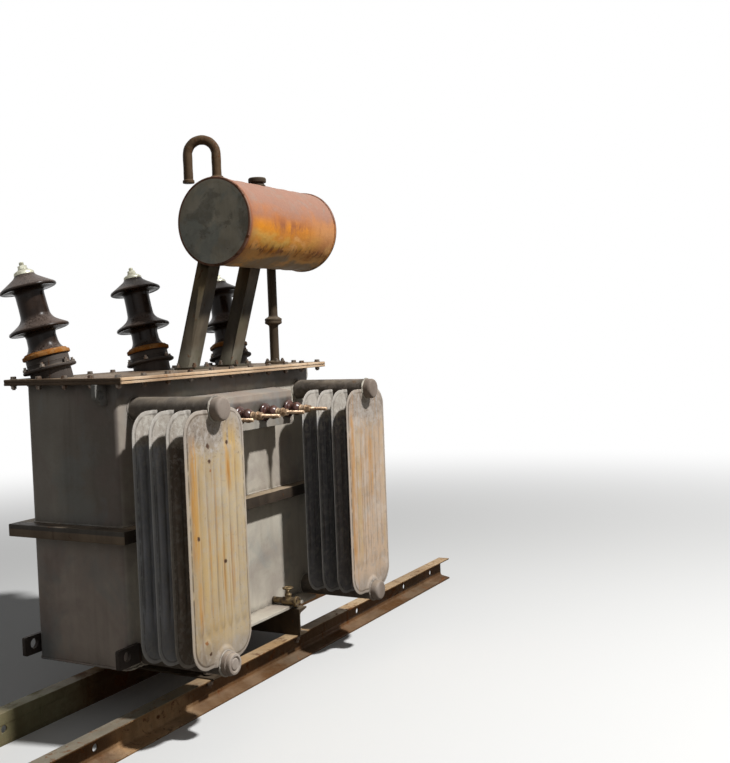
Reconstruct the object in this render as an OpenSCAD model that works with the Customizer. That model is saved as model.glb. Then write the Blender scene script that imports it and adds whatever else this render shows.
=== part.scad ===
// Pole mounted three-phase oil transformer on its pair of platform channels.
// Millimetres, +Z up, +X along the tank's long side, the low-voltage side faces -Y.
// The origin is on the ground plane of the channels, at the centre of the whole outline.

/* [Tank] */
// Length of the tank along its long walls
tank_l = 860; // [780:5:1000]
// Width of the tank from front wall to back wall
tank_w = 285; // [270:5:340]
// Height of the tank under its curb flange
tank_h = 672; // [640:2:760]
// Radius of the bent vertical corners
corner_r = 14; // [6:1:24]
// Overhang of the bolted rim on the long sides
rim_side = 45; // [35:1:60]
// Overhang of the bolted rim on the end walls
rim_end = 30; // [25:1:50]
// Thickness of the curb flange welded round the tank's mouth
curb_t = 7; // [5:1:10]
// Thickness of the bolted top cover
cover_t = 8; // [6:1:12]

/* [Stiffener band] */
// Height of the band's top above the tank's bottom
band_z = 336; // [300:2:380]
// How far the band stands out from the walls
band_out = 40; // [35:1:50]
// Height of the band's outer face
band_face = 30; // [25:1:45]
// Thickness of the band's steel
band_t = 5; // [4:1:8]

/* [Radiators] */
// Number of pressed fins on each radiator
fins = 4; // [2:1:4]
// Width of a fin
fin_w = 226; // [220:1:234]
// Distance between the top and bottom header axes
header_gap = 582; // [560:2:600]
// Height of the bottom header axis above the tank's bottom
header_low = 27; // [20:1:40]
// Spacing of the fins along the headers
fin_pitch = 48; // [44:1:52]
// Distance of the first fin from the tank wall
fin_first = 82; // [70:1:90]
// Distance of each radiator's centre line from the tank's near end wall
radiator_inset = 66; // [60:1:90]
// Outer diameter of the header pipes
header_d = 56; // [48:1:60]
// Length of header pipe past the outermost fin
header_stub = 32; // [20:1:40]
// Number of pressed flutes on a fin
flutes = 7; // [5:2:7]
// Radius of a fin's rounded corners
fin_corner = 56; // [50:2:90]

/* [Bushings] */
// Spacing of the three high-voltage bushings
hv_pitch = 380; // [340:5:390]
// Distance of the high-voltage bushings behind the tank's centre line
hv_back = 102; // [95:1:110]
// Backward lean of the high-voltage bushings in degrees
hv_lean = 12; // [0:1:14]
// Outward lean of the two outer high-voltage bushings in degrees
hv_splay = 5; // [0:1:8]
// Height of the turret under each high-voltage bushing
turret_h = 52; // [45:1:60]
// Spacing of the four low-voltage bushings
lv_pitch = 120; // [110:1:122]

/* [Conservator] */
// Diameter of the oil conservator drum
drum_d = 230; // [200:2:250]
// Length of the drum over its end plates
drum_l = 450; // [400:5:460]
// Position of the drum's near end along the tank
drum_x = -31; // [-50:1:0]
// Distance of the drum's axis in front of the tank's centre line
drum_front = 150; // [120:2:165]
// Height of the drum's axis above the cover
drum_z = 388; // [370:2:410]

/* [Base and platform] */
// Depth of the rolled steel channels
channel_h = 75; // [75]
// Flange width of the rolled steel channels
channel_b = 40; // [40]
// Length of the two base channels under the tank
base_l = 460; // [440:10:500]
// Spacing of the two base channels, centre to centre
base_pitch = 410; // [360:5:600]
// Length of the two platform channels
platform_l = 2500; // [1800:50:3000]
// Clear gap between the webs of the platform channels
platform_gap = 272; // [240:2:280]
// Spacing of the two poles that the platform bolts to
pole_pitch = 2100; // [1600:50:2400]

/* [Hidden] */
$fn = 48;
gap = 0.01;

// Rolled channel section
web_t = 4.8;
flange_t = 7.5;
flange_taper = 8;
root_r = 8.5;
toe_r = 2.4;
arc_steps = 4;

// Levels from the ground plane upwards
base_z = channel_h;
tank_z = 2 * channel_h;
curb_z = tank_z + tank_h;
cover_z = curb_z + curb_t;
top_z = cover_z + cover_t;

// Reach in front of and behind the tank's centre line, which sets the origin
fin_last = fin_first + (fins - 1) * fin_pitch;
front_reach = tank_w / 2 + fin_last + header_stub;
back_reach = base_l / 2;
tank_y = (front_reach - back_reach) / 2;
front_y = tank_y - tank_w / 2;

// Radiator details
radiator_x = tank_l / 2 - radiator_inset;
low_z = tank_z + header_low;
fin_sheet = 3;
panel_edge = 8;
panel_t = 5.2;
flute_depth = 5.2;
flute_top = 78;
flute_edge = 15;
flute_land = 3.5;
flute_end = 21;
flute_pitch = (fin_w - 2 * flute_edge) / flutes;
flute_w = flute_pitch - flute_land;
flute_tip = 12;
flute_r = (pow(flute_w / 2, 2) + pow(flute_depth, 2)) / (2 * flute_depth);
boss_r = header_d / 2 + 14;
boss_depth = 6;
boss_slope = 5;
header_chamfer = 5;

// Platform position: the pair sits under the load's middle, a little in front of the tank
platform_front = 182;
front_web_y = tank_y - platform_front;
back_web_y = front_web_y + platform_gap;
pole_bolt_gap = 220;
pole_bolt_d = 18;
brace_bolt_x = 600;

// Haulage lugs on the long walls at the bottom corners
haul_out = 44;
haul_lap = 34;
haul_h = 46;
haul_t = 10;
haul_z = tank_z + 13;
haul_corner = 5;
haul_eye = 25;
haul_eye_x = 14;
haul_eye_z = 26;

// Bottom ledge along the foot of the front wall, between the header pipes
ledge_out = 62;
ledge_t = 8;
ledge_gap = 8;
ledge_corner = 6;

// Lifting lugs under the rim at the middle of the end walls
lift_out = 40;
lift_h = 50;
lift_t = 12;
lift_eye = 22;
lift_eye_x = 22;
lift_eye_z = 26;
lift_nose_r = 14;
lift_nose_z = 24;
lift_y = -110;

// Low-voltage pocket between the radiators, and its bushings
pocket_l = 470;
pocket_out = 60;
pocket_low = 522;
pocket_front_h = 92;
pocket_rise = 10;
lv_z = tank_z + 564;
lv_shift = 26;
lv_core_r = 4;
lv_stud_d = 10;
lv_reach = 191;
lv_seat_z = 46;
lv_cap_z = 62;
lv_washer_t = 4;
lv_nut_r = 10;
lv_nut_h = 12;
lv_profile = [[20, 0], [20, 2], [25, 6], [25, 10], [21, 13], [15, 15], [14, 24], [18, 29], [19, 34], [18, 39],
    [14, 43], [11, lv_seat_z]];
lv_cap = [[12, lv_seat_z], [12, 49], [10, 51], [10, lv_cap_z], [12, lv_cap_z], [12, lv_cap_z + lv_washer_t]];

// High-voltage bushing along its own axis, measured from the cover
turret_r = 50;
turret_neck_r = 52;
turret_ring_r = 65;
turret_ring_z = 20;
turret_ring_t = 7;
turret_sink = 20;
hv_cap_z = 262;
hv_cap_h = 32;
hv_skirt_h = 11;
hv_stud_d = 12;
hv_nut_r = 11;
hv_nut_h = 7;
hv_foot = [[50, 0], [52, 3], [52, 12], [44, 20]];
hv_lower_shed = [[37, 84], [36, 110], [40, 116], [66, 118], [72, 120], [73, 123], [70, 127], [54, 136],
    [42, 145], [36, 156]];
hv_cap = [[24, 0], [25, 2], [23, 8], [14, hv_skirt_h]];
hv_upper_shed = [[35, 214], [38, 220], [62, 222], [68, 224], [69, 227], [66, 231], [45, 245], [30, 255],
    [25, hv_cap_z]];

// Conservator
drum_y = tank_y - drum_front;
drum_axis_z = top_z + drum_z;
drum_wall = 4;
end_t = 5;
end_bead = 2;
end_dish = 3;
end_rim = 7;
end_slope = 5;
leg_w = 50;
leg_t = 6;
leg_x = [10, 205];
leg_side = 40;
leg_foot_front = 30;
foot_plate = 70;
foot_plate_t = 6;
vent_d = 25;
vent_wall = 2.5;
vent_bend = 38;
vent_rise = 64;
vent_drop = 74;
vent_lip = 6;
vent_lip_h = 8;
vent_x = 25;
vent_turn = 25;
filler_x = 215;
filler_sink = 5;
filler_profile = [[19, 8], [25, 8], [25, 20], [22, 24]];
link_x = 330;
link_d = 27;
link_back = 60;
link_flange_d = 60;
link_flange_t = 8;
link_valve_d = 50;
link_valve_t = 14;
link_valve_z = 120;

// Drain valve at the foot of the front wall
drain_x = 190;
drain_z = 20;
drain_d = 22;
drain_l = 74;
drain_flange_d = 30;
drain_flange_t = 8;
bonnet_y = 50;
bonnet_d = 20;
bonnet_h = 34;
wheel_d = 32;
wheel_t = 6;

paint = [0.62, 0.64, 0.64];
shade_paint = [0.42, 0.42, 0.42];
rust = [0.55, 0.36, 0.22];
porcelain = [0.22, 0.13, 0.10];
brass = [0.72, 0.58, 0.30];

// A flat rectangle with rounded corners, centred on the origin
module rounded_rect(l, w, r) {
    square([l - 2 * r, w], center = true);
    square([l, w - 2 * r], center = true);
    for (sx = [-1, 1], sy = [-1, 1])
        translate([sx * (l / 2 - r), sy * (w / 2 - r)]) circle(r);
}

// Outline of the tank in plan, grown by d
module tank_plan(d = 0) {
    translate([0, tank_y]) rounded_rect(tank_l + 2 * d, tank_w + 2 * d, corner_r + d);
}

// Outline of the bolted rim in plan
module rim_plan() {
    translate([0, tank_y]) rounded_rect(tank_l + 2 * rim_end, tank_w + 2 * rim_side, 6);
}

// Flat ledge in front of the tank's bottom edge, drawn in plan
module ledge_plan() {
    half = radiator_x - header_d / 2 - ledge_gap;
    depth = ledge_out + corner_r;
    translate([-half, front_y - ledge_out]) difference() {
        square([2 * half, depth]);
        for (corner = [0, 2 * half])
            translate([corner, 0]) rotate(45) square(ledge_corner * sqrt(2), center = true);
    }
}

module tank_body() {
    color(paint) {
        translate([0, 0, tank_z]) linear_extrude(tank_h + curb_t) tank_plan();
        translate([0, 0, tank_z]) linear_extrude(ledge_t) ledge_plan();
        translate([0, 0, curb_z]) linear_extrude(curb_t) rim_plan();
    }
}

module tank_cover() {
    color(paint) translate([0, 0, cover_z]) linear_extrude(cover_t) rim_plan();
}

// Sharp-cornered outline of the stiffener band, d outside the tank's walls
module band_plan(d) {
    translate([0, tank_y]) square([tank_l + 2 * d, tank_w + 2 * d], center = true);
}

// The whole stiffener band: a flat leg on top and a hanging outer face
module band_ring() {
    translate([0, 0, tank_z + band_z - band_t])
        linear_extrude(band_t) difference() { band_plan(band_out); tank_plan(); }
    translate([0, 0, tank_z + band_z - band_face])
        linear_extrude(band_face - band_t + gap)
            difference() { band_plan(band_out); band_plan(band_out - band_t); }
}

// Mitred quarter of the band: the long sides and the ends meet on 45 degree cuts
module band_side(angle) {
    reach = tank_l;
    core = (tank_l - tank_w) / 2;
    along_x = angle == 0 || angle == 180;
    half = along_x ? core : 0;
    shift = along_x ? 0 : core;
    color(shade_paint) intersection() {
        band_ring();
        translate([0, tank_y, 0]) rotate(angle) translate([0, -shift, tank_z]) linear_extrude(tank_h)
            polygon([[-half, 0], [half, 0], [half + reach, -reach], [-half - reach, -reach]]);
    }
}

function arc(cx, cy, r, a0, a1) =
    [for (i = [0:arc_steps]) let (a = a0 + (a1 - a0) * i / arc_steps) [cx + r * cos(a), cy + r * sin(a)]];

// Rolled channel section: web on the Y axis, tapered flanges towards +X, depth along Y
module channel_section() {
    slope = tan(flange_taper);
    toe_t = flange_t - slope * (channel_b - web_t) / 2;
    root_t = flange_t + slope * (channel_b - web_t) / 2;
    low = concat(
        arc(channel_b - toe_r, toe_t - toe_r, toe_r, 0, 90 + flange_taper),
        arc(web_t + root_r, root_t + root_r, root_r, 270 - flange_taper, 180));
    high = [for (i = [len(low) - 1:-1:0]) [low[i][0], channel_h - low[i][1]]];
    polygon(concat([[0, 0], [channel_b, 0]], low, high, [[channel_b, channel_h], [0, channel_h]]));
}

// A level channel along X: the web stands at y = 0 and the flanges point to -Y
module channel_bar(length) {
    rotate([90, 0, 90]) translate([0, 0, -length / 2])
        linear_extrude(length) mirror([1, 0]) channel_section();
}

// Channel across under the tank, web inwards and flanges outwards
module base_channel(side) {
    color(paint) translate([side * (base_pitch - channel_b) / 2, tank_y, base_z])
        rotate(side * 90) channel_bar(base_l);
}

// Bolt holes through a platform channel's web, for the poles' clamps and the braces
module web_holes() {
    for (s = [-1, 1]) {
        for (x = [-1, 1])
            translate([s * pole_pitch / 2 + x * pole_bolt_gap / 2, 0, channel_h / 2])
                rotate([90, 0, 0]) cylinder(d = pole_bolt_d, h = 6 * web_t, center = true);
        translate([s * brace_bolt_x, 0, channel_h / 2])
            rotate([90, 0, 0]) cylinder(d = pole_bolt_d, h = 6 * web_t, center = true);
    }
}

module platform_channel(web_y, side) {
    color(rust) translate([0, web_y, 0]) difference() {
        mirror([0, side < 0 ? 0 : 1, 0]) channel_bar(platform_l);
        web_holes();
    }
}

// Square-ended plates lapped on the long walls, with an eye past each corner of the tank
module haulage_lugs() {
    length = haul_out + haul_lap;
    color(shade_paint) for (sx = [-1, 1], sy = [-1, 1])
        translate([sx * tank_l / 2, tank_y + sy * (tank_w / 2 + haul_t / 2), haul_z])
            mirror([sx < 0 ? 0 : 1, 0, 0]) rotate([90, 0, 0]) linear_extrude(haul_t, center = true)
                difference() {
                    translate([haul_lap - length / 2, haul_h / 2]) rounded_rect(length, haul_h, haul_corner);
                    translate([-haul_eye_x, haul_eye_z]) circle(d = haul_eye);
                }
}

// Lug under the rim on each end wall: a gusset plate with an eye for the sling
module lifting_lugs() {
    color(shade_paint) for (sx = [-1, 1])
        translate([sx * tank_l / 2, tank_y + lift_y, curb_z - lift_h])
            mirror([sx < 0 ? 0 : 1, 0, 0]) rotate([90, 0, 0]) linear_extrude(lift_t, center = true)
                difference() {
                    polygon(concat(
                        [[0, lift_h], [0, 0], [-lift_out / 2, 0]],
                        arc(-lift_out + lift_nose_r, lift_nose_z, lift_nose_r, 270, 180),
                        [[-lift_out, lift_h]]));
                    translate([-lift_eye_x, lift_eye_z]) circle(d = lift_eye);
                }
}

// A lens-shaped flute: two arcs bulging by flute_depth on both faces of the sheet
module flute_lens() {
    intersection() {
        translate([0, flute_depth - flute_r]) circle(flute_r, $fn = 96);
        translate([0, flute_r - flute_depth]) circle(flute_r, $fn = 96);
    }
}

// Straight flute whose two ends are pressed down to the sheet by slanted faces
module flute(z0, z1) {
    intersection() {
        translate([0, 0, z0 - flute_tip]) linear_extrude(z1 - z0 + 2 * flute_tip) flute_lens();
        rotate([90, 0, 90]) linear_extrude(flute_pitch, center = true)
            polygon([[-flute_depth, z0], [0, z0 - flute_tip], [flute_depth, z0],
                     [flute_depth, z1], [0, z1 + flute_tip], [-flute_depth, z1]]);
    }
}

// Half height of a fin's rounded outline at a distance x from its centre line
function outline_half(x) =
    let (d = abs(x) - (fin_w / 2 - fin_corner), h = header_gap / 2)
    d <= 0 ? h : h - fin_corner + sqrt(pow(fin_corner, 2) - d * d);

// Half length of the flute at x: it follows the rim, and stops short of the headers
function flute_half(x) =
    min(outline_half(abs(x) + flute_w / 2) - flute_end, header_gap / 2 - flute_top) - flute_tip;

// Pressed boss round the header: a low cone frustum on both faces
module header_boss() {
    rotate([90, 0, 0]) rotate_extrude(angle = -180, $fn = 96)
        polygon([[0, boss_depth], [boss_r - boss_slope, boss_depth], [boss_r, 0],
                 [boss_r - boss_slope, -boss_depth], [0, -boss_depth]]);
}

// One radiator fin in the XZ plane, centred on x = 0, y = 0, with its middle at z = 0
module fin_panel() {
    half = header_gap / 2;
    difference() {
        union() {
            rotate([90, 0, 0]) linear_extrude(fin_sheet, center = true)
                rounded_rect(fin_w, header_gap, fin_corner);
            rotate([90, 0, 0]) linear_extrude(panel_t, center = true)
                rounded_rect(fin_w - 2 * panel_edge, header_gap - 2 * panel_edge, fin_corner - panel_edge);
            for (i = [0:flutes - 1]) {
                x = (i - (flutes - 1) / 2) * flute_pitch;
                translate([x, 0, 0]) flute(-flute_half(x), flute_half(x));
            }
            translate([0, 0, half]) header_boss();
            translate([0, 0, -half]) rotate([0, 180, 0]) header_boss();
        }
        for (z = [-half, half])
            translate([0, 0, z]) rotate([90, 0, 0])
                cylinder(d = header_d, h = fin_pitch, center = true, $fn = 64);
    }
}

module fin(side, row) {
    color(paint)
        translate([side * radiator_x, front_y - fin_first - (row - 1) * fin_pitch, low_z + header_gap / 2])
            fin_panel();
}

// Header pipe from the tank wall through all fins, closed by a bevelled cap
module header(side, z) {
    length = fin_last + header_stub;
    color(paint) translate([side * radiator_x, front_y, z]) rotate([90, 0, 0])
        rotate_extrude($fn = 64)
            polygon([[0, 0], [header_d / 2, 0], [header_d / 2, length - header_chamfer],
                     [header_d / 2 - header_chamfer, length], [0, length]]);
}

// Welded box that carries the low-voltage bushings, with a sloped roof
module lv_pocket() {
    color(paint) translate([-pocket_l / 2, front_y, tank_z + pocket_low])
        rotate([90, 0, 90]) linear_extrude(pocket_l)
            polygon([[0, 0], [-pocket_out, 0], [-pocket_out, pocket_front_h],
                     [0, pocket_front_h + pocket_rise]]);
}

// Places children at each low-voltage bushing, with +Z along the stud outwards
module at_lv() {
    for (i = [0:3])
        translate([lv_shift + (i - 1.5) * lv_pitch, front_y - pocket_out, lv_z])
            rotate([90, 0, 0]) children();
}

module lv_bushings() {
    color(porcelain) at_lv() rotate_extrude()
        polygon(concat([[lv_core_r, 0]], lv_profile, [[lv_core_r, lv_seat_z]]));
}

module lv_studs() {
    nut_z = lv_cap_z + lv_washer_t;
    tip_z = lv_reach - pocket_out;
    stud_r = lv_stud_d / 2;
    color(brass) at_lv() {
        rotate_extrude() polygon(concat([[0, 0], [lv_core_r, 0], [lv_core_r, lv_seat_z]], lv_cap,
            [[stud_r, nut_z], [stud_r, tip_z - 1], [stud_r - 1, tip_z], [0, tip_z]]));
        translate([0, 0, nut_z]) cylinder(r = lv_nut_r, h = lv_nut_h, $fn = 6);
    }
}

// Places children at a high-voltage bushing, with +Z along its leaning axis; i is -1, 0 or 1
module at_hv(i) {
    translate([i * hv_pitch, tank_y + hv_back, top_z]) rotate([-hv_lean, i * hv_splay, 0]) children();
}

// Leaning turret on the cover, with a bolting ring round its middle
module hv_turret(i) {
    color(shade_paint) difference() {
        at_hv(i) rotate_extrude()
            polygon([[0, -turret_sink], [turret_r, -turret_sink], [turret_r, turret_ring_z],
                     [turret_ring_r, turret_ring_z], [turret_ring_r, turret_ring_z + turret_ring_t],
                     [turret_neck_r, turret_ring_z + turret_ring_t], [turret_neck_r, turret_h],
                     [0, turret_h]]);
        translate([i * hv_pitch, tank_y + hv_back, top_z - 2 * turret_sink])
            linear_extrude(2 * turret_sink) square(4 * turret_r, center = true);
    }
}

// Glazed porcelain with a clamping foot and two umbrella sheds
module hv_bushing(i) {
    foot = [for (p = hv_foot) [p[0], turret_h + p[1]]];
    color(porcelain) at_hv(i) rotate_extrude()
        polygon(concat([[0, turret_h]], foot, hv_lower_shed, hv_upper_shed, [[0, hv_cap_z]]));
}

module hv_terminals() {
    nut_z = hv_cap_z + hv_skirt_h;
    tip_z = hv_cap_z + hv_cap_h;
    stud_r = hv_stud_d / 2;
    cap = [for (p = hv_cap) [p[0], hv_cap_z + p[1]]];
    color("silver") for (i = [-1, 0, 1]) at_hv(i) {
        rotate_extrude()
            polygon(concat([[0, hv_cap_z]], cap, [[stud_r, nut_z], [stud_r, tip_z], [0, tip_z]]));
        translate([0, 0, nut_z]) cylinder(r = hv_nut_r, h = hv_nut_h, $fn = 6);
    }
}

module conservator_drum() {
    color(rust) translate([drum_x + end_t, drum_y, drum_axis_z]) rotate([0, 90, 0]) difference() {
        cylinder(d = drum_d, h = drum_l - 2 * end_t, $fn = 96);
        translate([0, 0, -1]) cylinder(d = drum_d - 2 * drum_wall, h = drum_l, $fn = 96);
    }
}

// The drum's outside, cut away from what stands against it
module drum_cut() {
    translate([drum_x - leg_w, drum_y, drum_axis_z]) rotate([0, 90, 0])
        cylinder(d = drum_d, h = drum_l + 2 * leg_w, $fn = 96);
}

// Flat end plate with a bead rolled round its edge
module conservator_end(side) {
    x = side < 0 ? drum_x : drum_x + drum_l;
    edge = drum_d / 2;
    color(shade_paint) translate([x, drum_y, drum_axis_z]) rotate([0, -side * 90, 0]) mirror([0, 0, 1])
        rotate_extrude($fn = 96)
            polygon([[0, -end_dish], [edge - end_rim - end_slope, -end_dish], [edge - end_rim, 0], [edge, 0],
                     [edge + end_bead, -end_bead], [edge + end_bead, -end_t], [0, -end_t]]);
}

// Leaning angle leg from the cover to the drum, with a foot plate
module conservator_leg(x) {
    foot_y = tank_y - leg_foot_front;
    color(shade_paint) difference() {
        union() {
            for (flange = [[leg_w, leg_t], [leg_t, leg_side]])
                hull() for (end = [[foot_y, top_z], [drum_y, drum_axis_z]])
                    translate([x - leg_w / 2, end[0] - leg_t / 2, end[1]]) cube([flange[0], flange[1], 1]);
            translate([x, foot_y, top_z]) linear_extrude(foot_plate_t) square(foot_plate, center = true);
        }
        drum_cut();
    }
}

// Goose-neck breather: a straight rise, a half-circle bend and a short drop
module vent_pipe() {
    color(rust) difference() {
        translate([drum_x + vent_x, drum_y, drum_axis_z]) rotate(vent_turn) {
            cylinder(d = vent_d, h = drum_d / 2 + vent_rise);
            translate([0, vent_bend, drum_d / 2 + vent_rise]) rotate([90, 0, 90])
                rotate_extrude(angle = 180) translate([vent_bend, 0]) circle(d = vent_d);
            translate([0, 2 * vent_bend, drum_d / 2 + vent_rise - vent_drop]) difference() {
                union() {
                    cylinder(d = vent_d, h = vent_drop);
                    cylinder(d = vent_d + vent_lip, h = vent_lip_h);
                }
                translate([0, 0, -1]) cylinder(d = vent_d - 2 * vent_wall, h = vent_drop / 2);
            }
        }
        drum_cut();
    }
}

// Neck and screwed cap of the filling hole on top of the drum
module filler_cap() {
    neck_r = filler_profile[0][0];
    cap_top = filler_profile[len(filler_profile) - 1][1];
    color(shade_paint) difference() {
        translate([drum_x + filler_x, drum_y, drum_axis_z + drum_d / 2]) rotate_extrude()
            polygon(concat([[0, -filler_sink], [neck_r, -filler_sink]], filler_profile, [[0, cap_top]]));
        drum_cut();
    }
}

// Oil pipe from the drum's underside down to the cover
module oil_link_pipe() {
    color(rust) difference() {
        translate([link_x, drum_y + link_back, top_z]) {
            cylinder(d = link_d, h = drum_z);
            cylinder(d = link_flange_d, h = link_flange_t);
            translate([0, 0, link_valve_z]) cylinder(d = link_valve_d, h = link_valve_t);
        }
        drum_cut();
    }
}

// Drain valve on the front wall: body with an end flange, bonnet and hand wheel
module drain_valve() {
    color(brass) translate([drain_x, front_y, tank_z + drain_z]) {
        rotate([90, 0, 0]) cylinder(d = drain_d, h = drain_l);
        translate([0, -drain_l, 0]) rotate([90, 0, 0]) cylinder(d = drain_flange_d, h = drain_flange_t);
        translate([0, -bonnet_y, 0]) cylinder(d = bonnet_d, h = bonnet_h);
        translate([0, -bonnet_y, bonnet_h]) cylinder(d = wheel_d, h = wheel_t);
    }
}

tank_body();
tank_cover();
band_side(0);  // band_front
band_side(180);  // band_back
band_side(-90);  // band_near_end
band_side(90);  // band_far_end
base_channel(-1);  // base_channel_near
base_channel(1);  // base_channel_far
platform_channel(front_web_y, -1);  // platform_channel_front
platform_channel(back_web_y, 1);  // platform_channel_back
haulage_lugs();
lifting_lugs();
fin(-1, 1);  // near_fin_1
fin(-1, 2);  // near_fin_2
fin(-1, 3);  // near_fin_3
fin(-1, 4);  // near_fin_4
fin(1, 1);  // far_fin_1
fin(1, 2);  // far_fin_2
fin(1, 3);  // far_fin_3
fin(1, 4);  // far_fin_4
header(-1, low_z + header_gap);  // near_header_top
header(-1, low_z);  // near_header_bottom
header(1, low_z + header_gap);  // far_header_top
header(1, low_z);  // far_header_bottom
lv_pocket();
lv_bushings();
lv_studs();
hv_turret(-1);  // hv_turret_near
hv_turret(0);  // hv_turret_middle
hv_turret(1);  // hv_turret_far
hv_bushing(-1);  // hv_bushing_near
hv_bushing(0);  // hv_bushing_middle
hv_bushing(1);  // hv_bushing_far
hv_terminals();
conservator_drum();
conservator_end(-1);  // conservator_end_near
conservator_end(1);  // conservator_end_far
conservator_leg(leg_x[0]);  // conservator_leg_near
conservator_leg(leg_x[1]);  // conservator_leg_far
vent_pipe();
filler_cap();
oil_link_pipe();
drain_valve();
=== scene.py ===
import math
import random

import bmesh
import bpy
from mathutils import Matrix, Vector


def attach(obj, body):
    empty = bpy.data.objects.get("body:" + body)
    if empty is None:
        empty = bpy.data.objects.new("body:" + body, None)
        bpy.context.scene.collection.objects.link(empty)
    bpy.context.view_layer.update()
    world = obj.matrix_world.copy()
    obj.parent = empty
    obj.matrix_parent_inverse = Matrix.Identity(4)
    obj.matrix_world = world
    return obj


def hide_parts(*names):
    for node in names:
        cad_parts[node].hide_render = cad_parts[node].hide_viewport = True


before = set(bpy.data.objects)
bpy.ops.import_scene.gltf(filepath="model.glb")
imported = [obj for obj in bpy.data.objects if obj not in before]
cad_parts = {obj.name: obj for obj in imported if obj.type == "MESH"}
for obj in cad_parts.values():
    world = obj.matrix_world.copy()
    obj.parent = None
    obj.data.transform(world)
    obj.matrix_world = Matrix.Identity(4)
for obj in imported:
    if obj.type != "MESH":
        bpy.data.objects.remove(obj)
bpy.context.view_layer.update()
scene = bpy.context.scene
print("frame loaded:", len(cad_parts), "nodes")


# an output of a node, which a formula can use like a number
class Value:
    def __init__(self, tree, socket):
        self.tree, self.socket = tree, socket

    def __add__(self, other):
        return calc("ADD", self, other)

    def __radd__(self, other):
        return calc("ADD", other, self)

    def __sub__(self, other):
        return calc("SUBTRACT", self, other)

    def __rsub__(self, other):
        return calc("SUBTRACT", other, self)

    def __mul__(self, other):
        return calc("MULTIPLY", self, other)

    def __rmul__(self, other):
        return calc("MULTIPLY", other, self)

    def __truediv__(self, other):
        return calc("DIVIDE", self, other)

    def __abs__(self):
        return calc("ABSOLUTE", self)

    # the last sum kept between 0 and 1
    def clamped(self):
        self.socket.node.use_clamp = True
        return self

    # rises softly from 0 at low to 1 at high, or falls where low is the greater
    def band(self, low, high):
        return valueOf(self.tree, "ShaderNodeMapRange", {"interpolation_type": "SMOOTHSTEP"}, {
            "Value": self, "From Min": low, "From Max": high})

    # a pattern of 0 to 1 turned into a swing about zero
    def swing(self, amount):
        return (self - 0.5) * amount

    # one colour laid over another as far as this mask says
    def blend(self, under, over):
        return mixed(self.tree, self, under, over)

    def part(self, axis):
        return valueOf(self.tree, "ShaderNodeSeparateXYZ", None, {"Vector": self}, axis)

    def noise(self, scale, detail, roughness, distortion=0.0, stretch=None):
        place = self
        if stretch:
            place = valueOf(self.tree, "ShaderNodeMapping", None, {"Vector": self, "Scale": stretch})
        return valueOf(self.tree, "ShaderNodeTexNoise", None, {
            "Vector": place, "Scale": scale, "Detail": detail, "Roughness": roughness, "Distortion": distortion})


# sets a node's inputs, each to a number, a colour of red, green and blue, or another node's Value
def fill(node, values):
    for key, value in values.items():
        socket = node.inputs[key]
        if isinstance(value, Value):
            value.tree.links.new(value.socket, socket)
        else:
            socket.default_value = (*value, 1) if socket.type == "RGBA" else value


def addNode(tree, kind, settings=None, values=None):
    node = tree.nodes.new(kind)
    for key, value in (settings or {}).items():
        setattr(node, key, value)
    fill(node, values or {})
    return node


def valueOf(tree, kind, settings=None, values=None, output=0):
    return Value(tree, addNode(tree, kind, settings, values).outputs[output])


def calc(operation, first, second=0.0):
    tree = first.tree if isinstance(first, Value) else second.tree
    return valueOf(tree, "ShaderNodeMath", {"operation": operation}, {0: first, 1: second})


def mixed(tree, factor, under, over, mode="MIX"):
    settings = {"data_type": "RGBA", "blend_type": mode}
    return valueOf(tree, "ShaderNodeMix", settings, {0: factor, 6: under, 7: over}, 2)


def darkened(colour, shade):
    tint = valueOf(colour.tree, "ShaderNodeCombineColor", None, {0: shade, 1: shade, 2: shade})
    return mixed(colour.tree, 1.0, colour, tint, "MULTIPLY")


def objectPlace(tree):
    return valueOf(tree, "ShaderNodeTexCoord", output="Object")


def facingUp(tree):
    return valueOf(tree, "ShaderNodeNewGeometry", output="Normal").part("Z")


# a node group, its inputs as Values and its end; each socket is (name, kind) or (name, kind, default)
def newGroup(name, treeKind, inputs, outputs):
    group = bpy.data.node_groups.new(name, treeKind)
    for direction, sockets in (("INPUT", inputs), ("OUTPUT", outputs)):
        for label, kind, *default in sockets:
            socket = group.interface.new_socket(name=label, in_out=direction, socket_type="NodeSocket" + kind)
            if default:
                socket.default_value = (*default[0], 1) if kind == "Color" else default[0]
    start, end = addNode(group, "NodeGroupInput"), addNode(group, "NodeGroupOutput")
    return group, {label: Value(group, start.outputs[label]) for label, *_ in inputs}, end


def placeGroup(tree, group, values, output=0):
    return valueOf(tree, "ShaderNodeGroup", {"node_tree": group}, values, output)


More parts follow.
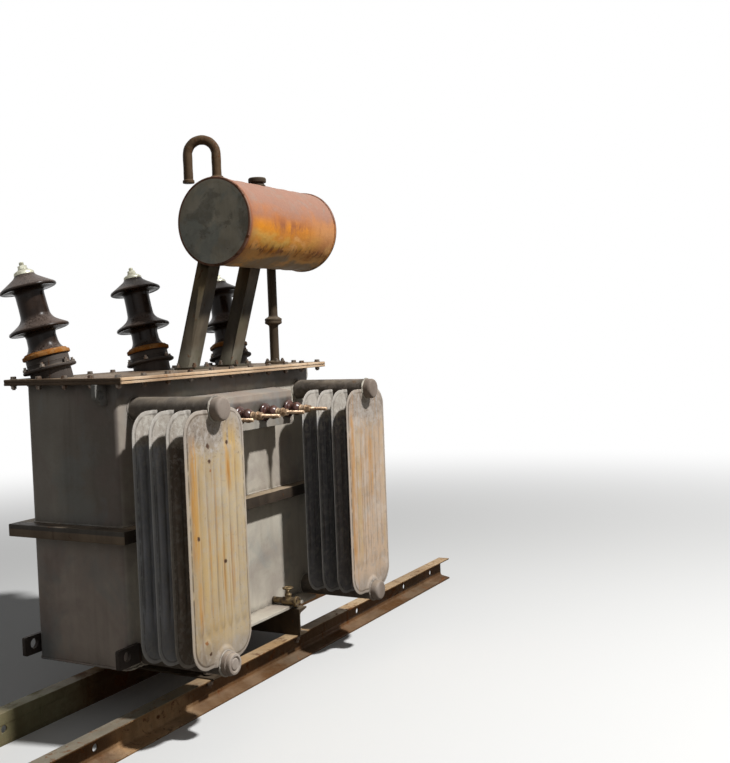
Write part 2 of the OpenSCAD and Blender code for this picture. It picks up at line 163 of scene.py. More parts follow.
# shared effect: paint that has faded, gathered dirt and let rust through
def makeWeatherGroup():
    group, inputs, end = newGroup("weatheredCoat", "ShaderNodeTree", [
        ("Paint", "Color", (0.3, 0.29, 0.27)), ("Faded Paint", "Color", (0.4, 0.37, 0.32)),
        ("Dirt", "Color", (0.06, 0.05, 0.04)), ("Rust", "Color", (0.16, 0.07, 0.03)),
        ("Fade Amount", "Float", 0.5), ("Dirt Amount", "Float", 0.4), ("Rust Amount", "Float", 0.3),
        ("Streak Amount", "Float", 0.3), ("Pattern Size", "Float", 1.0), ("Dust On Top", "Float", 0.3),
        ("Shift", "Vector", (0, 0, 0))], [
        ("Color", "Color"), ("Roughness", "Float"), ("Height", "Float"), ("Rust Mask", "Float")])
    moved = valueOf(group, "ShaderNodeVectorMath", {"operation": "ADD"}, {0: objectPlace(group), 1: inputs["Shift"]})
    place = valueOf(group, "ShaderNodeVectorMath", {"operation": "SCALE"}, {0: moved, 3: inputs["Pattern Size"]})
    upright = (1.0, 1.0, 0.07)
    patches = place.noise(5.5, 7.0, 0.62, 0.4)
    cloudy = place.noise(2.1, 3.0, 0.5, 0.2)
    drip = place.noise(34.0, 5.0, 0.6, stretch=upright)
    broadDrip = place.noise(11.0, 4.0, 0.55, stretch=upright)
    speck = place.noise(160.0, 3.0, 0.7)
    grain = place.noise(620.0, 2.0, 0.6)
    # fading: large soft patches and pale runs
    fadeEdge = 0.72 - inputs["Fade Amount"] * 0.45
    fade = (patches * 0.55 + broadDrip * 0.45 - fadeEdge).band(-0.09, 0.12)
    colour = fade.blend(inputs["Paint"], inputs["Faded Paint"])
    # dirt: cloudy film, runs and specks
    film = (cloudy - (0.78 - inputs["Dirt Amount"] * 0.5)).band(-0.16, 0.16)
    fine = speck.band(0.6, 0.74) * 0.5 * inputs["Dirt Amount"]
    dirty = (film + fine + drip.band(0.52, 0.72) * inputs["Streak Amount"]).clamped()
    colour = (dirty * 0.8).blend(colour, inputs["Dirt"])
    # rust: blotches with a ragged edge and thin runs under them
    rustEdge = 0.8 - inputs["Rust Amount"] * 0.42
    blotch = (place.noise(13.0, 9.0, 0.68, 0.6) - rustEdge).band(-0.03, 0.05)
    rustRun = (drip - (rustEdge + 0.04)).band(-0.03, 0.08)
    rustMask = calc("MAXIMUM", blotch, rustRun * 0.8)
    deepRust = valueOf(group, "ShaderNodeGamma", None, {"Color": inputs["Rust"], "Gamma": 1.35})
    colour = rustMask.blend(colour, speck.band(0.35, 0.65).blend(inputs["Rust"], deepRust))
    # pale dust where the surface looks up
    dust = facingUp(group).band(0.3, 0.95) * patches.band(0.36, 0.6) * inputs["Dust On Top"]
    colour = dust.blend(colour, (0.36, 0.29, 0.21))
    rough = (0.46 + dirty * 0.2 + rustMask * 0.28 + dust * 0.25).clamped()
    fill(end, {"Color": darkened(colour, 0.93 + grain * 0.14), "Roughness": rough, "Rust Mask": rustMask,
               "Height": rustMask * 0.35 + speck * 0.25 + cloudy * 1.2})
    return group


# shared effect: painted shade with some dirt, darkening corners and gaps between close plates as far as ambient
# occlusion reaches
def makeCornerShadeGroup():
    group, inputs, end = newGroup("cornerShadeAndDirt", "ShaderNodeTree", [
        ("Color", "Color", (0.5, 0.5, 0.5)), ("Corner Colour", "Color", (0.05, 0.04, 0.03)),
        ("Reach", "Float", 0.02), ("Amount", "Float", 0.6)], [("Color", "Color"), ("Mask", "Float")])
    opened = valueOf(group, "ShaderNodeAmbientOcclusion", {"samples": 6}, {"Distance": inputs["Reach"]}, "AO")
    broken = objectPlace(group).noise(60.0, 5.0, 0.65)
    mask = (1.0 - opened + broken.swing(0.5)).band(0.2, 0.75) * inputs["Amount"]
    fill(end, {"Color": mask.blend(inputs["Color"], inputs["Corner Colour"]), "Mask": mask})
    return group


# shared effect: an upright streak of a given width between two heights
def makeStreakGroup():
    group, inputs, end = newGroup("placedStreak", "ShaderNodeTree", [
        ("Centre X", "Float", 0.0), ("Half Width", "Float", 0.01), ("Low Z", "Float", 0.2), ("High Z", "Float", 0.7),
        ("Waver", "Float", 0.01)], [("Mask", "Float")])
    where = objectPlace(group)
    across, up = where.part("X"), where.part("Z")
    sway = where.noise(22.0, 6.0, 0.65, stretch=(1, 1, 0.35)).swing(inputs["Waver"])
    off = abs(across + sway - inputs["Centre X"])
    side = ((1.0 - off / inputs["Half Width"]) * 1.7).clamped()
    above = ((up - inputs["Low Z"]) * 18.0).clamped()
    below = ((inputs["High Z"] - up) * 18.0).clamped()
    torn = where.noise(70.0, 6.0, 0.7, stretch=(1, 1, 0.12)).band(0.32, 0.6)
    fill(end, {"Mask": side * (above * below) * torn})
    return group


# shared effect: a small round spot with a torn edge
def makeSpotGroup():
    group, inputs, end = newGroup("placedSpot", "ShaderNodeTree", [
        ("Centre", "Vector", (0, 0, 0)), ("Radius", "Float", 0.005)], [("Mask", "Float")])
    where = objectPlace(group)
    off = valueOf(group, "ShaderNodeVectorMath", {"operation": "DISTANCE"}, {0: where, 1: inputs["Centre"]}, 1)
    torn = where.noise(190.0, 3.0, 0.6).swing(1.6)
    fill(end, {"Mask": (off / inputs["Radius"] + torn).band(1.15, 0.55)})
    return group


weatherGroup = makeWeatherGroup()
cornerShadeGroup = makeCornerShadeGroup()
streakGroup = makeStreakGroup()
spotGroup = makeSpotGroup()


def newMaterial(name):
    material = bpy.data.materials.new(name)
    material.use_nodes = True
    tree = material.node_tree
    tree.nodes.clear()
    surface = addNode(tree, "ShaderNodeBsdfPrincipled")
    addNode(tree, "ShaderNodeOutputMaterial", None, {"Surface": Value(tree, surface.outputs[0])})
    return material, tree, surface


# fine relief from a height, and edges rounded by a radius in metres
def bumped(height, strength, distance, edgeRadius=0.0):
    values = {"Height": height, "Strength": strength, "Distance": distance}
    if edgeRadius > 0:
        values["Normal"] = valueOf(height.tree, "ShaderNodeBevel", {"samples": 4}, {"Radius": edgeRadius})
    return valueOf(height.tree, "ShaderNodeBump", None, values)


# mask that rises from one value of an object coordinate to another, with a ragged edge
def zoneMask(tree, axis, start, full, ragged):
    where = objectPlace(tree)
    return (where.part(axis) + where.noise(17.0, 6.0, 0.65).swing(ragged)).band(start, full)


# wide soft clouds of another tone, each (scale, first level, full level, amount, colour)
def clouded(colour, clouds):
    where = objectPlace(colour.tree)
    for scale, low, high, amount, tone in clouds:
        colour = (where.noise(scale, 5.0, 0.6, 0.5).band(low, high) * amount).blend(colour, tone)
    return colour


# small patches of a second tone and dark specks, with more of both near the fins' tops
def mottled(colour, look):
    where, scale = objectPlace(colour.tree), look["scale"]
    patches = where.noise(scale, 9.0, 0.74, 0.3).band(0.47, 0.6)
    specks = where.noise(scale * 2.1, 6.0, 0.72).band(0.62, 0.7)
    patchPart, speckPart = look["amount"], look["speckAmount"]
    if "topAmount" in look:
        upper = zoneMask(colour.tree, "Z", 0.60, 0.70, 0.05)
        flecks = where.noise(scale * 1.7, 7.0, 0.75).band(0.53, 0.60)
        specks = calc("MAXIMUM", specks, flecks * (upper * 0.55))
        patchPart = (patchPart + upper * look["topAmount"]).clamped()
        speckPart = (speckPart + upper * 0.3).clamped()
    colour = (patches * patchPart).blend(colour, look["tone"])
    return (specks * speckPart).blend(colour, look["speck"])


# upright stains, each (x, half width, low z, high z, strength, colour)
def stained(colour, stains):
    for centre, half, low, high, strength, tone in stains:
        mask = placeGroup(colour.tree, streakGroup, {
            "Centre X": centre, "Half Width": half, "Low Z": low, "High Z": high, "Waver": half * 0.9})
        colour = (mask * strength).blend(colour, tone)
    return colour


# thin vertical runs of rusty water
def thinRuns(colour, look):
    where = objectPlace(colour.tree)
    lines = where.noise(120.0, 4.0, 0.6, stretch=(1.0, 0.4, 0.022)).band(0.52, 0.68)
    places = where.noise(9.0, 4.0, 0.6, stretch=(1.0, 1.0, 0.4)).band(0.38, 0.6)
    return (lines * places * look["amount"]).blend(colour, look["colour"])


# painted shade with some dirt and rust in the grooves between the flutes, from the groove value kept on the mesh
def grooveShadeAndDirt(colour, look):
    where = objectPlace(colour.tree)
    depth = valueOf(colour.tree, "ShaderNodeAttribute", {"attribute_name": "groove"}, None, "Fac")
    broken = where.noise(60.0, 6.0, 0.65, stretch=(1.0, 1.0, 0.15)).band(0.36, 0.6)
    line = depth.band(0.35, 0.95) * (0.35 + broken * 0.65)
    tinted = where.noise(14.0, 3.0, 0.5).band(0.42, 0.6).blend(look["dark"], look["rusty"])
    return (line * look["amount"]).blend(colour, tinted)


# paler flange round a fin and the dark line inside it, from the distance to the outline kept on the mesh
def rimBand(colour, look):
    gap = valueOf(colour.tree, "ShaderNodeAttribute", {"attribute_name": "inset"}, None, "Fac")
    broken = objectPlace(colour.tree).noise(34.0, 5.0, 0.6).band(0.3, 0.55)
    flange = 1.0 - gap.band(0.0062, 0.0082)
    colour = (flange * look["amount"]).blend(colour, look["pale"])
    line = gap.band(0.0062, 0.0085) * gap.band(0.0125, 0.0095) * broken * look["lineAmount"]
    return line.blend(colour, look["line"])


# rust spots, each (centre, radius, colour)
def spotted(colour, spots):
    for centre, radius, tone in spots:
        colour = placeGroup(colour.tree, spotGroup, {"Centre": centre, "Radius": radius}).blend(colour, tone)
    return colour


finishLayers = (("clouds", clouded), ("mottle", mottled), ("stains", stained), ("runs", thinRuns),
                ("grooves", grooveShadeAndDirt), ("rimBand", rimBand), ("spots", spotted))


# one painted or rusty steel finish; each zone is (change to the coat, strength, limits), a limit being
# (axis, start, full, ragged)
def steelFinish(name, look, zones=()):
    material, tree, surface = newMaterial(name)
    coated = addNode(tree, "ShaderNodeGroup", {"node_tree": weatherGroup}, look["coat"])
    colour, rough, height = (Value(tree, coated.outputs[key]) for key in ("Color", "Roughness", "Height"))
    for change, mask, *limits in zones:
        for limit in limits:
            mask = mask * zoneMask(tree, *limit)
        colour = mask.blend(colour, placeGroup(tree, weatherGroup, dict(look["coat"], **change)))
    for key, layer in finishLayers:
        if key in look:
            colour = layer(colour, look[key])
    # corners and close gaps get painted shade with some dirt
    colour = placeGroup(tree, cornerShadeGroup, {
        "Color": colour, "Corner Colour": look["corner"], "Reach": look["reach"], "Amount": look["cornerAmount"]})
    fill(surface, {"Base Color": colour, "Roughness": rough, "Specular IOR Level": look["shine"],
                   "Normal": bumped(height, look["bump"], 0.004, look.get("edge", 0.0))})
    return material


coatWords = {"rust": "Rust", "fade": "Fade Amount", "grime": "Dirt Amount", "rusting": "Rust Amount",
             "streaks": "Streak Amount", "size": "Pattern Size", "dust": "Dust On Top", "shift": "Shift"}


# values of a weathered coat: colours of paint, faded paint, dirt and rust, then the rest by a short word
def coat(*colours, **others):
    values = dict(zip(("Paint", "Faded Paint", "Dirt", "Rust"), colours))
    values.update((coatWords[word], value) for word, value in others.items())
    return values


# looks of the steel parts; reach is how far the painted corner shade and dirt come out of a corner and edge how much an
# edge is rounded, both in metres, shine is the specular level and bump the strength of the relief
# the darker base coat is painted shade on the walls turned from the light, and the paler front coat is painted light on
# the lit front wall
tankLook = {
    "coat": coat((0.315, 0.292, 0.252), (0.392, 0.358, 0.312), (0.155, 0.131, 0.112), (0.22, 0.14, 0.10),
                 fade=0.5, grime=0.55, rusting=0.15, streaks=0.25, size=1.0, dust=0.4),
    "front": coat((0.52, 0.48, 0.40), (0.61, 0.565, 0.475), (0.28, 0.24, 0.19), (0.34, 0.18, 0.09), grime=0.45),
    "low": coat((0.405, 0.338, 0.297), (0.49, 0.415, 0.365), (0.20, 0.162, 0.138)),
    "bluishLowCorner": coat((0.13, 0.155, 0.17), (0.18, 0.205, 0.22), (0.075, 0.08, 0.085)),
    "paintedShadeUnderRim": coat((0.15, 0.135, 0.12), (0.20, 0.18, 0.16), (0.085, 0.073, 0.062)),
    "clouds": [(4.5, 0.46, 0.62, 0.42, (0.235, 0.180, 0.163)), (7.5, 0.50, 0.64, 0.34, (0.235, 0.265, 0.265)),
               (13.0, 0.56, 0.70, 0.14, (0.13, 0.115, 0.10))],
    "mottle": {"scale": 46.0, "amount": 0.07, "tone": (0.36, 0.34, 0.31), "speckAmount": 0.22,
               "speck": (0.13, 0.075, 0.045)},
    "corner": (0.045, 0.035, 0.026), "reach": 0.03, "cornerAmount": 0.75, "shine": 0.18, "bump": 0.35, "edge": 0.0016}
finLook = {
    "coat": coat((0.46, 0.350, 0.212), (0.535, 0.425, 0.268), (0.26, 0.20, 0.137), (0.42, 0.22, 0.08),
                 fade=0.55, grime=0.34, rusting=0.2, streaks=0.35, size=1.3, dust=0.2, shift=(1.7, 0, 0)),
    "ends": coat((0.29, 0.245, 0.205), (0.41, 0.365, 0.32), (0.17, 0.135, 0.11), size=2.6, grime=0.5),
    "clouds": [(11.0, 0.50, 0.66, 0.35, (0.50, 0.455, 0.375)), (42.0, 0.59, 0.67, 0.3, (0.31, 0.25, 0.19))],
    "runs": {"amount": 0.5, "colour": (0.40, 0.21, 0.075)},
    "mottle": {"scale": 62.0, "amount": 0.40, "tone": (0.42, 0.375, 0.33), "speckAmount": 0.6,
               "speck": (0.12, 0.085, 0.06), "topAmount": 0.8},
    "grooves": {"amount": 0.5, "dark": (0.15, 0.12, 0.09), "rusty": (0.30, 0.15, 0.06)},
    "rimBand": {"amount": 0.6, "pale": (0.42, 0.365, 0.31), "lineAmount": 0.8, "line": (0.11, 0.08, 0.055)},
    "corner": (0.07, 0.055, 0.04), "reach": 0.02, "cornerAmount": 0.7, "shine": 0.18, "bump": 0.3}
# the inner fins' bluish tint is painted shade colour on the fin paint; their tops get painted light and the far
# radiator's inner fins deeper painted shade
innerFinLook = {
    "coat": coat((0.42, 0.432, 0.46), (0.54, 0.553, 0.585), (0.205, 0.197, 0.19), (0.22, 0.13, 0.08),
                 fade=0.5, grime=0.4, rusting=0.1, streaks=0.4, size=1.3, dust=0.3, shift=(1.7, 0, 0)),
    "paintedLitTops": coat((0.44, 0.40, 0.345), (0.55, 0.50, 0.44), (0.26, 0.215, 0.17)),
    "brown": coat((0.22, 0.182, 0.150), (0.30, 0.250, 0.205), (0.12, 0.095, 0.075)),
    "paintedFarShade": coat((0.20, 0.198, 0.210), (0.28, 0.276, 0.290), (0.095, 0.090, 0.088)),
    "mottle": {"scale": 62.0, "amount": 0.3, "tone": (0.56, 0.53, 0.47), "speckAmount": 0.3,
               "speck": (0.17, 0.12, 0.09), "topAmount": 0.5},
    "grooves": {"amount": 0.6, "dark": (0.10, 0.095, 0.09), "rusty": (0.12, 0.085, 0.06)},
    "rimBand": {"amount": 0.35, "pale": (0.44, 0.42, 0.39), "lineAmount": 0.6, "line": (0.10, 0.09, 0.08)},
    "corner": (0.08, 0.075, 0.07), "reach": 0.035, "cornerAmount": 0.5, "shine": 0.12, "bump": 0.3}
rimLook = {
    "coat": coat((0.095, 0.058, 0.034), (0.165, 0.105, 0.062), (0.05, 0.034, 0.022), (0.18, 0.08, 0.035),
                 fade=0.5, grime=0.45, rusting=0.4, streaks=0.2, size=1.8, dust=0.5, shift=(0, 2.2, 0)),
    # paler front edge: painted light on the lit face, over rusty paint
    "front": coat((0.60, 0.42, 0.26), (0.72, 0.555, 0.39), (0.27, 0.16, 0.09), (0.38, 0.19, 0.08),
                  rusting=0.35, grime=0.45),
    "shadedEndFace": coat((0.085, 0.055, 0.032), (0.13, 0.085, 0.05), (0.045, 0.031, 0.02)),
    "corner": (0.03, 0.022, 0.016), "reach": 0.015, "cornerAmount": 0.6, "shine": 0.12, "bump": 0.5, "edge": 0.0006}
channelLook = {
    "coat": coat((0.125, 0.058, 0.022), (0.19, 0.098, 0.042), (0.055, 0.031, 0.015), (0.19, 0.074, 0.022),
                 fade=0.45, grime=0.5, rusting=0.5, streaks=0.25, size=1.4, dust=0.25, shift=(0, 0, 3.1)),
    "grey": coat((0.30, 0.275, 0.155), (0.38, 0.35, 0.21), (0.15, 0.128, 0.066), rusting=0.2),
    "sunlitPaleEnd": coat((0.56, 0.54, 0.35), (0.70, 0.67, 0.46), (0.32, 0.29, 0.17), rusting=0.15),
    "shadedGreyTop": coat((0.205, 0.190, 0.148), (0.27, 0.255, 0.20), (0.10, 0.088, 0.066)),
    "sunlitRustTop": coat((0.52, 0.34, 0.175), (0.64, 0.45, 0.25), (0.21, 0.125, 0.06)),
    "sunWeb": coat((0.44, 0.26, 0.125), (0.60, 0.39, 0.21), (0.13, 0.072, 0.034), size=2.6),
    "mottle": {"scale": 52.0, "amount": 0.25, "tone": (0.19, 0.125, 0.068), "speckAmount": 0.55,
               "speck": (0.05, 0.027, 0.013)},
    "corner": (0.04, 0.026, 0.015), "reach": 0.03, "cornerAmount": 0.6, "shine": 0.10, "bump": 0.6, "edge": 0.0012}
darkSteelLook = {
    "coat": coat((0.062, 0.044, 0.028), (0.100, 0.073, 0.046), (0.032, 0.023, 0.016), (0.12, 0.055, 0.023),
                 fade=0.5, grime=0.4, rusting=0.4, streaks=0.3, size=2.0, dust=0.2, shift=(5.3, 0, 0)),
    "corner": (0.022, 0.016, 0.012), "reach": 0.015, "cornerAmount": 0.6, "shine": 0.10, "bump": 0.5, "edge": 0.001}
brownPipeLook = {
    "coat": coat((0.068, 0.041, 0.020), (0.105, 0.066, 0.035), (0.035, 0.022, 0.014), (0.13, 0.054, 0.020),
                 fade=0.5, grime=0.4, rusting=0.5, streaks=0.3, size=2.4, dust=0.1, shift=(2.6, 4.0, 0)),
    "corner": (0.03, 0.02, 0.013), "reach": 0.012, "cornerAmount": 0.6, "shine": 0.10, "bump": 0.6}
# the headers' dark coat is painted shade along the pipes, and the paler stub ends are painted light
headerCoat = {
    "coat": coat((0.13, 0.113, 0.094), (0.19, 0.165, 0.138), (0.055, 0.044, 0.036), (0.15, 0.078, 0.04),
                 fade=0.5, grime=0.45, rusting=0.3, streaks=0.2, size=2.0, dust=0.45, shift=(0, 6.1, 0)),
    "litStubEnd": coat((0.34, 0.275, 0.23), (0.46, 0.40, 0.345), (0.15, 0.115, 0.09), grime=0.6),
    "mottle": {"scale": 70.0, "amount": 0.3, "tone": (0.26, 0.225, 0.19), "speckAmount": 0.5,
               "speck": (0.06, 0.04, 0.028)},
    "corner": (0.05, 0.04, 0.03), "reach": 0.02, "cornerAmount": 0.6, "shine": 0.15, "bump": 0.5}
endPlateLook = {
    "coat": coat((0.440, 0.410, 0.325), (0.545, 0.510, 0.415), (0.20, 0.175, 0.13), (0.16, 0.075, 0.035),
                 fade=0.5, grime=0.45, rusting=0.2, streaks=0.15, size=2.6, dust=0.2, shift=(9.1, 0, 0)),
    "clouds": [(7.0, 0.46, 0.56, 0.7, (0.27, 0.30, 0.28)), (12.5, 0.53, 0.62, 0.65, (0.17, 0.16, 0.13))],
    "mottle": {"scale": 40.0, "amount": 0.25, "tone": (0.50, 0.48, 0.42), "speckAmount": 0.75,
               "speck": (0.08, 0.07, 0.055)},
    "corner": (0.14, 0.075, 0.045), "reach": 0.012, "cornerAmount": 0.7, "shine": 0.12, "bump": 0.5}


# the same look in other colours
def recoated(look, *colours, **others):
    return dict(look, coat=dict(look["coat"], **coat(*colours, **others)))


# the pocket's dark coat is painted shade over its front face, and the paler lip along its bottom is painted light
pocketLook = recoated(tankLook, (0.085, 0.075, 0.062), (0.14, 0.122, 0.10), (0.045, 0.038, 0.03), grime=0.7)
pocketLook["roof"] = coat((0.46, 0.385, 0.305), (0.56, 0.48, 0.39), (0.24, 0.19, 0.145))
pocketLook["lip"] = coat((0.30, 0.27, 0.23), (0.40, 0.365, 0.31), (0.15, 0.125, 0.10))
clampLook = recoated(brownPipeLook, (0.32, 0.135, 0.035), (0.40, 0.22, 0.085), rust=(0.36, 0.15, 0.03),
                     rusting=0.7, shift=(0, 0, 7.7))
turretLook = recoated(darkSteelLook, (0.050, 0.041, 0.036), (0.085, 0.070, 0.060), (0.028, 0.022, 0.019))
# the band's near-black coat is painted shade on its faces, and the tan top is painted light
bandCoats = dict(recoated(darkSteelLook, (0.040, 0.031, 0.024), (0.068, 0.051, 0.037)), edge=0.0)
bandCoats["top"] = coat((0.27, 0.205, 0.135), (0.35, 0.275, 0.19), (0.15, 0.105, 0.065))
bandCoats["end"] = coat((0.170, 0.128, 0.090), (0.235, 0.178, 0.128), (0.075, 0.052, 0.037))
bandCoats["endTop"] = coat((0.075, 0.066, 0.055), (0.11, 0.098, 0.084), (0.045, 0.037, 0.030))
legLook = recoated(darkSteelLook, (0.040, 0.030, 0.020), (0.066, 0.052, 0.034), (0.022, 0.017, 0.012), dust=0.05)
legLook["high"] = coat((0.115, 0.080, 0.038), (0.165, 0.118, 0.058))
legLook["low"] = coat((0.105, 0.095, 0.070), (0.15, 0.137, 0.105))
legLook["clouds"] = [(16.0, 0.50, 0.62, 0.5, (0.060, 0.052, 0.030))]
rimLipLook = recoated(brownPipeLook, (0.20, 0.095, 0.060), (0.27, 0.145, 0.095))

# limits of the zones that more than one coat shares
frontWall = ("Y", -0.052, -0.056, 0.0)
nearWall = ("X", -0.425, -0.43, 0.0)
bandEnd = ("X", -0.4682, -0.4696, 0.0)
backChannel = ("Y", 0.05, 0.1, 0.0)
channelTop = ("Z", 0.0735, 0.0748, 0.0)

clampSteel = steelFinish("clampSteel", clampLook)
turretSteel = steelFinish("turretSteel", turretLook)
tankPaint = steelFinish("tankPaint", tankLook, [
    (tankLook["low"], 0.9, ("Z", 0.50, 0.40, 0.06)),
    # painted light: the paler coat on the front wall
    (tankLook["front"], 1.0, frontWall),
    # painted shade under the rim, on the front wall and on the near end wall
    (tankLook["paintedShadeUnderRim"], 0.9, frontWall, ("Z", 0.775, 0.795, 0.02)),
    # a bluish, darker patch at the near wall's low back corner
    (tankLook["bluishLowCorner"], 0.75, nearWall, ("Y", 0.14, 0.20, 0.04), ("Z", 0.30, 0.19, 0.05)),
    (tankLook["paintedShadeUnderRim"], 0.55, nearWall, ("Z", 0.785, 0.815, 0.04))])
pocketPaint = steelFinish("pocketPaint", pocketLook, [
    (pocketLook["roof"], 1.0, ("Z", 0.742, 0.752, 0.006)),
    # painted light on the lip along the pocket's bottom
    (pocketLook["lip"], 0.95, ("Z", 0.704, 0.690, 0.012))])
# painted light on the rim's front edge and painted shade on its end face
rimPaint = steelFinish("rimPaint", rimLook, [
    (rimLook["front"], 1.0, ("Y", -0.085, -0.1005, 0.0)),
    (rimLook["shadedEndFace"], 1.0, ("X", -0.4585, -0.4597, 0.0))])
# painted sunlight on the back channel's pale end and on the lit part of the front web; painted shade on the front
# channel's grey top flange, and painted sunlight over rust on its right part
channelSteel = steelFinish("channelSteel", channelLook, [
    (channelLook["grey"], 1.0, ("X", -0.25, -0.50, 0.2), backChannel),
    (channelLook["sunlitPaleEnd"], 1.0, ("X", -0.80, -0.92, 0.1), backChannel),
    (channelLook["sunWeb"], 0.9, ("X", -0.60, -0.50, 0.05), ("X", -0.2, -0.35, 0.1), ("Y", 0.0, -0.05, 0.0)),
    (channelLook["shadedGreyTop"], 0.95, channelTop, ("X", -0.1, -0.4, 0.3), ("Y", 0.05, 0.0, 0.0)),
    (channelLook["sunlitRustTop"], 0.9, channelTop, ("X", -0.4, -0.1, 0.3))])
darkSteel = steelFinish("darkSteel", darkSteelLook)
bandSteel = steelFinish("bandSteel", bandCoats, [
    (bandCoats["end"], 1.0, bandEnd),
    (bandCoats["endTop"], 1.0, bandEnd, ("Z", 0.4735, 0.4765, 0.002)),
    # painted light on the band's top face
    (bandCoats["top"], 1.0, ("Z", 0.4853, 0.4859, 0.0), ("X", -0.445, -0.42, 0.0))])
brownPipe = steelFinish("brownPipe", brownPipeLook)
legSteel = steelFinish("legSteel", legLook, [
    (legLook["high"], 0.9, ("Z", 1.00, 1.08, 0.03)),
    (legLook["low"], 0.7, ("Z", 0.91, 0.86, 0.03))])
# painted light on the headers' ends, over the painted shade of the pipes
headerPaint = steelFinish("headerPaint", headerCoat, [(headerCoat["litStubEnd"], 1.0, ("Y", -0.285, -0.292, 0.004))])
endPlatePaint = steelFinish("endPlatePaint", endPlateLook)
drumRimPaint = steelFinish("drumRimPaint", rimLipLook)

# stains on the outermost fins: x of centre, half width, low z, high z, strength, colour
orange, yellow, brown = (0.50, 0.24, 0.055), (0.55, 0.36, 0.13), (0.20, 0.12, 0.07)
nearStains = [(-0.452, 0.015, 0.385, 0.715, 1.0, orange), (-0.446, 0.010, 0.25, 0.44, 0.8, orange),
              (-0.436, 0.026, 0.30, 0.70, 0.5, yellow), (-0.305, 0.036, 0.560, 0.745, 0.95, yellow),
              (-0.322, 0.015, 0.555, 0.68, 1.0, orange), (-0.385, 0.060, 0.20, 0.48, 0.45, yellow),
              (-0.402, 0.0030, 0.25, 0.52, 0.6, orange), (-0.374, 0.0022, 0.36, 0.62, 0.5, orange),
              (-0.362, 0.0022, 0.22, 0.44, 0.5, brown), (-0.333, 0.0026, 0.22, 0.50, 0.5, brown),
              (-0.352, 0.0060, 0.30, 0.50, 0.95, orange), (-0.352, 0.0022, 0.33, 0.45, 0.9, brown),
              (-0.443, 0.004, 0.19, 0.33, 0.6, brown), (-0.388, 0.004, 0.56, 0.68, 0.4, brown),
              (-0.318, 0.007, 0.30, 0.50, 0.6, orange), (-0.340, 0.022, 0.25, 0.50, 0.45, yellow)]
farStains = [(0.272, 0.013, 0.25, 0.72, 0.75, orange), (0.300, 0.020, 0.25, 0.66, 0.45, yellow),
             (0.318, 0.007, 0.28, 0.62, 0.6, orange), (0.345, 0.004, 0.30, 0.66, 0.5, orange),
             (0.375, 0.016, 0.43, 0.65, 0.85, orange), (0.362, 0.004, 0.25, 0.50, 0.5, brown),
             (0.452, 0.012, 0.25, 0.7, 0.3, yellow), (0.330, 0.0025, 0.22, 0.55, 0.5, brown)]
# rust spots on the near outermost fin's face: x, z, radius, colour
outerFaceY, darkSpot, paleSpot = -0.2875, (0.075, 0.038, 0.022), (0.30, 0.14, 0.055)
nearSpots = [((x, outerFaceY, z), radius, tone) for x, z, radius, tone in (
    (-0.395, 0.678, 0.0066, darkSpot), (-0.322, 0.679, 0.0062, darkSpot), (-0.394, 0.643, 0.0052, darkSpot),
    (-0.3475, 0.408, 0.0050, darkSpot), (-0.4445, 0.477, 0.0064, darkSpot), (-0.392, 0.622, 0.0042, paleSpot),
    (-0.430, 0.240, 0.0060, paleSpot), (-0.416, 0.212, 0.0050, darkSpot))]
farLook = dict(recoated(finLook, (0.46, 0.335, 0.225), (0.56, 0.415, 0.295)), stains=farStains, clouds=[
    (15.0, 0.48, 0.62, 0.45, (0.60, 0.535, 0.47)), (38.0, 0.56, 0.64, 0.4, (0.31, 0.25, 0.205))])
finEnds = [(finLook["ends"], 0.9, ("Z", 0.635, 0.70, 0.07)), (finLook["ends"], 0.7, ("Z", 0.245, 0.20, 0.05))]
nearFinPaint = steelFinish("nearFinPaint", dict(finLook, stains=nearStains, spots=nearSpots), finEnds)
farFinPaint = steelFinish("farFinPaint", farLook, finEnds)
innerFinPaint = steelFinish("innerFinPaint", innerFinLook, [
    (innerFinLook["brown"], 1.0, ("Y", -0.205, -0.215, 0.0), ("X", 0.05, -0.05, 0.0)),
    # deeper painted shade on the far radiator's inner fins
    (innerFinLook["paintedFarShade"], 1.0, ("X", -0.05, 0.05, 0.0)),
    # painted light on the inner fins' tops
    (innerFinLook["paintedLitTops"], 0.95, ("Z", 0.675, 0.695, 0.015))])


# the drum's coat changes round its girth: pale pink top, orange runs, dark belly
drumLook = {"axisZ": 1.225, "radius": 0.115, "under": (0.36, 0.265, 0.165), "belly": (0.78, 0.425, 0.15),
            "middle": (0.42, 0.150, 0.045), "peach": (0.52, 0.255, 0.105), "top": (0.31, 0.165, 0.115),
            "grey": (0.27, 0.20, 0.16), "bright": (0.66, 0.245, 0.020), "yellow": (0.62, 0.38, 0.10),
            "spot": (0.17, 0.048, 0.02), "edge": (0.28, 0.10, 0.045)}


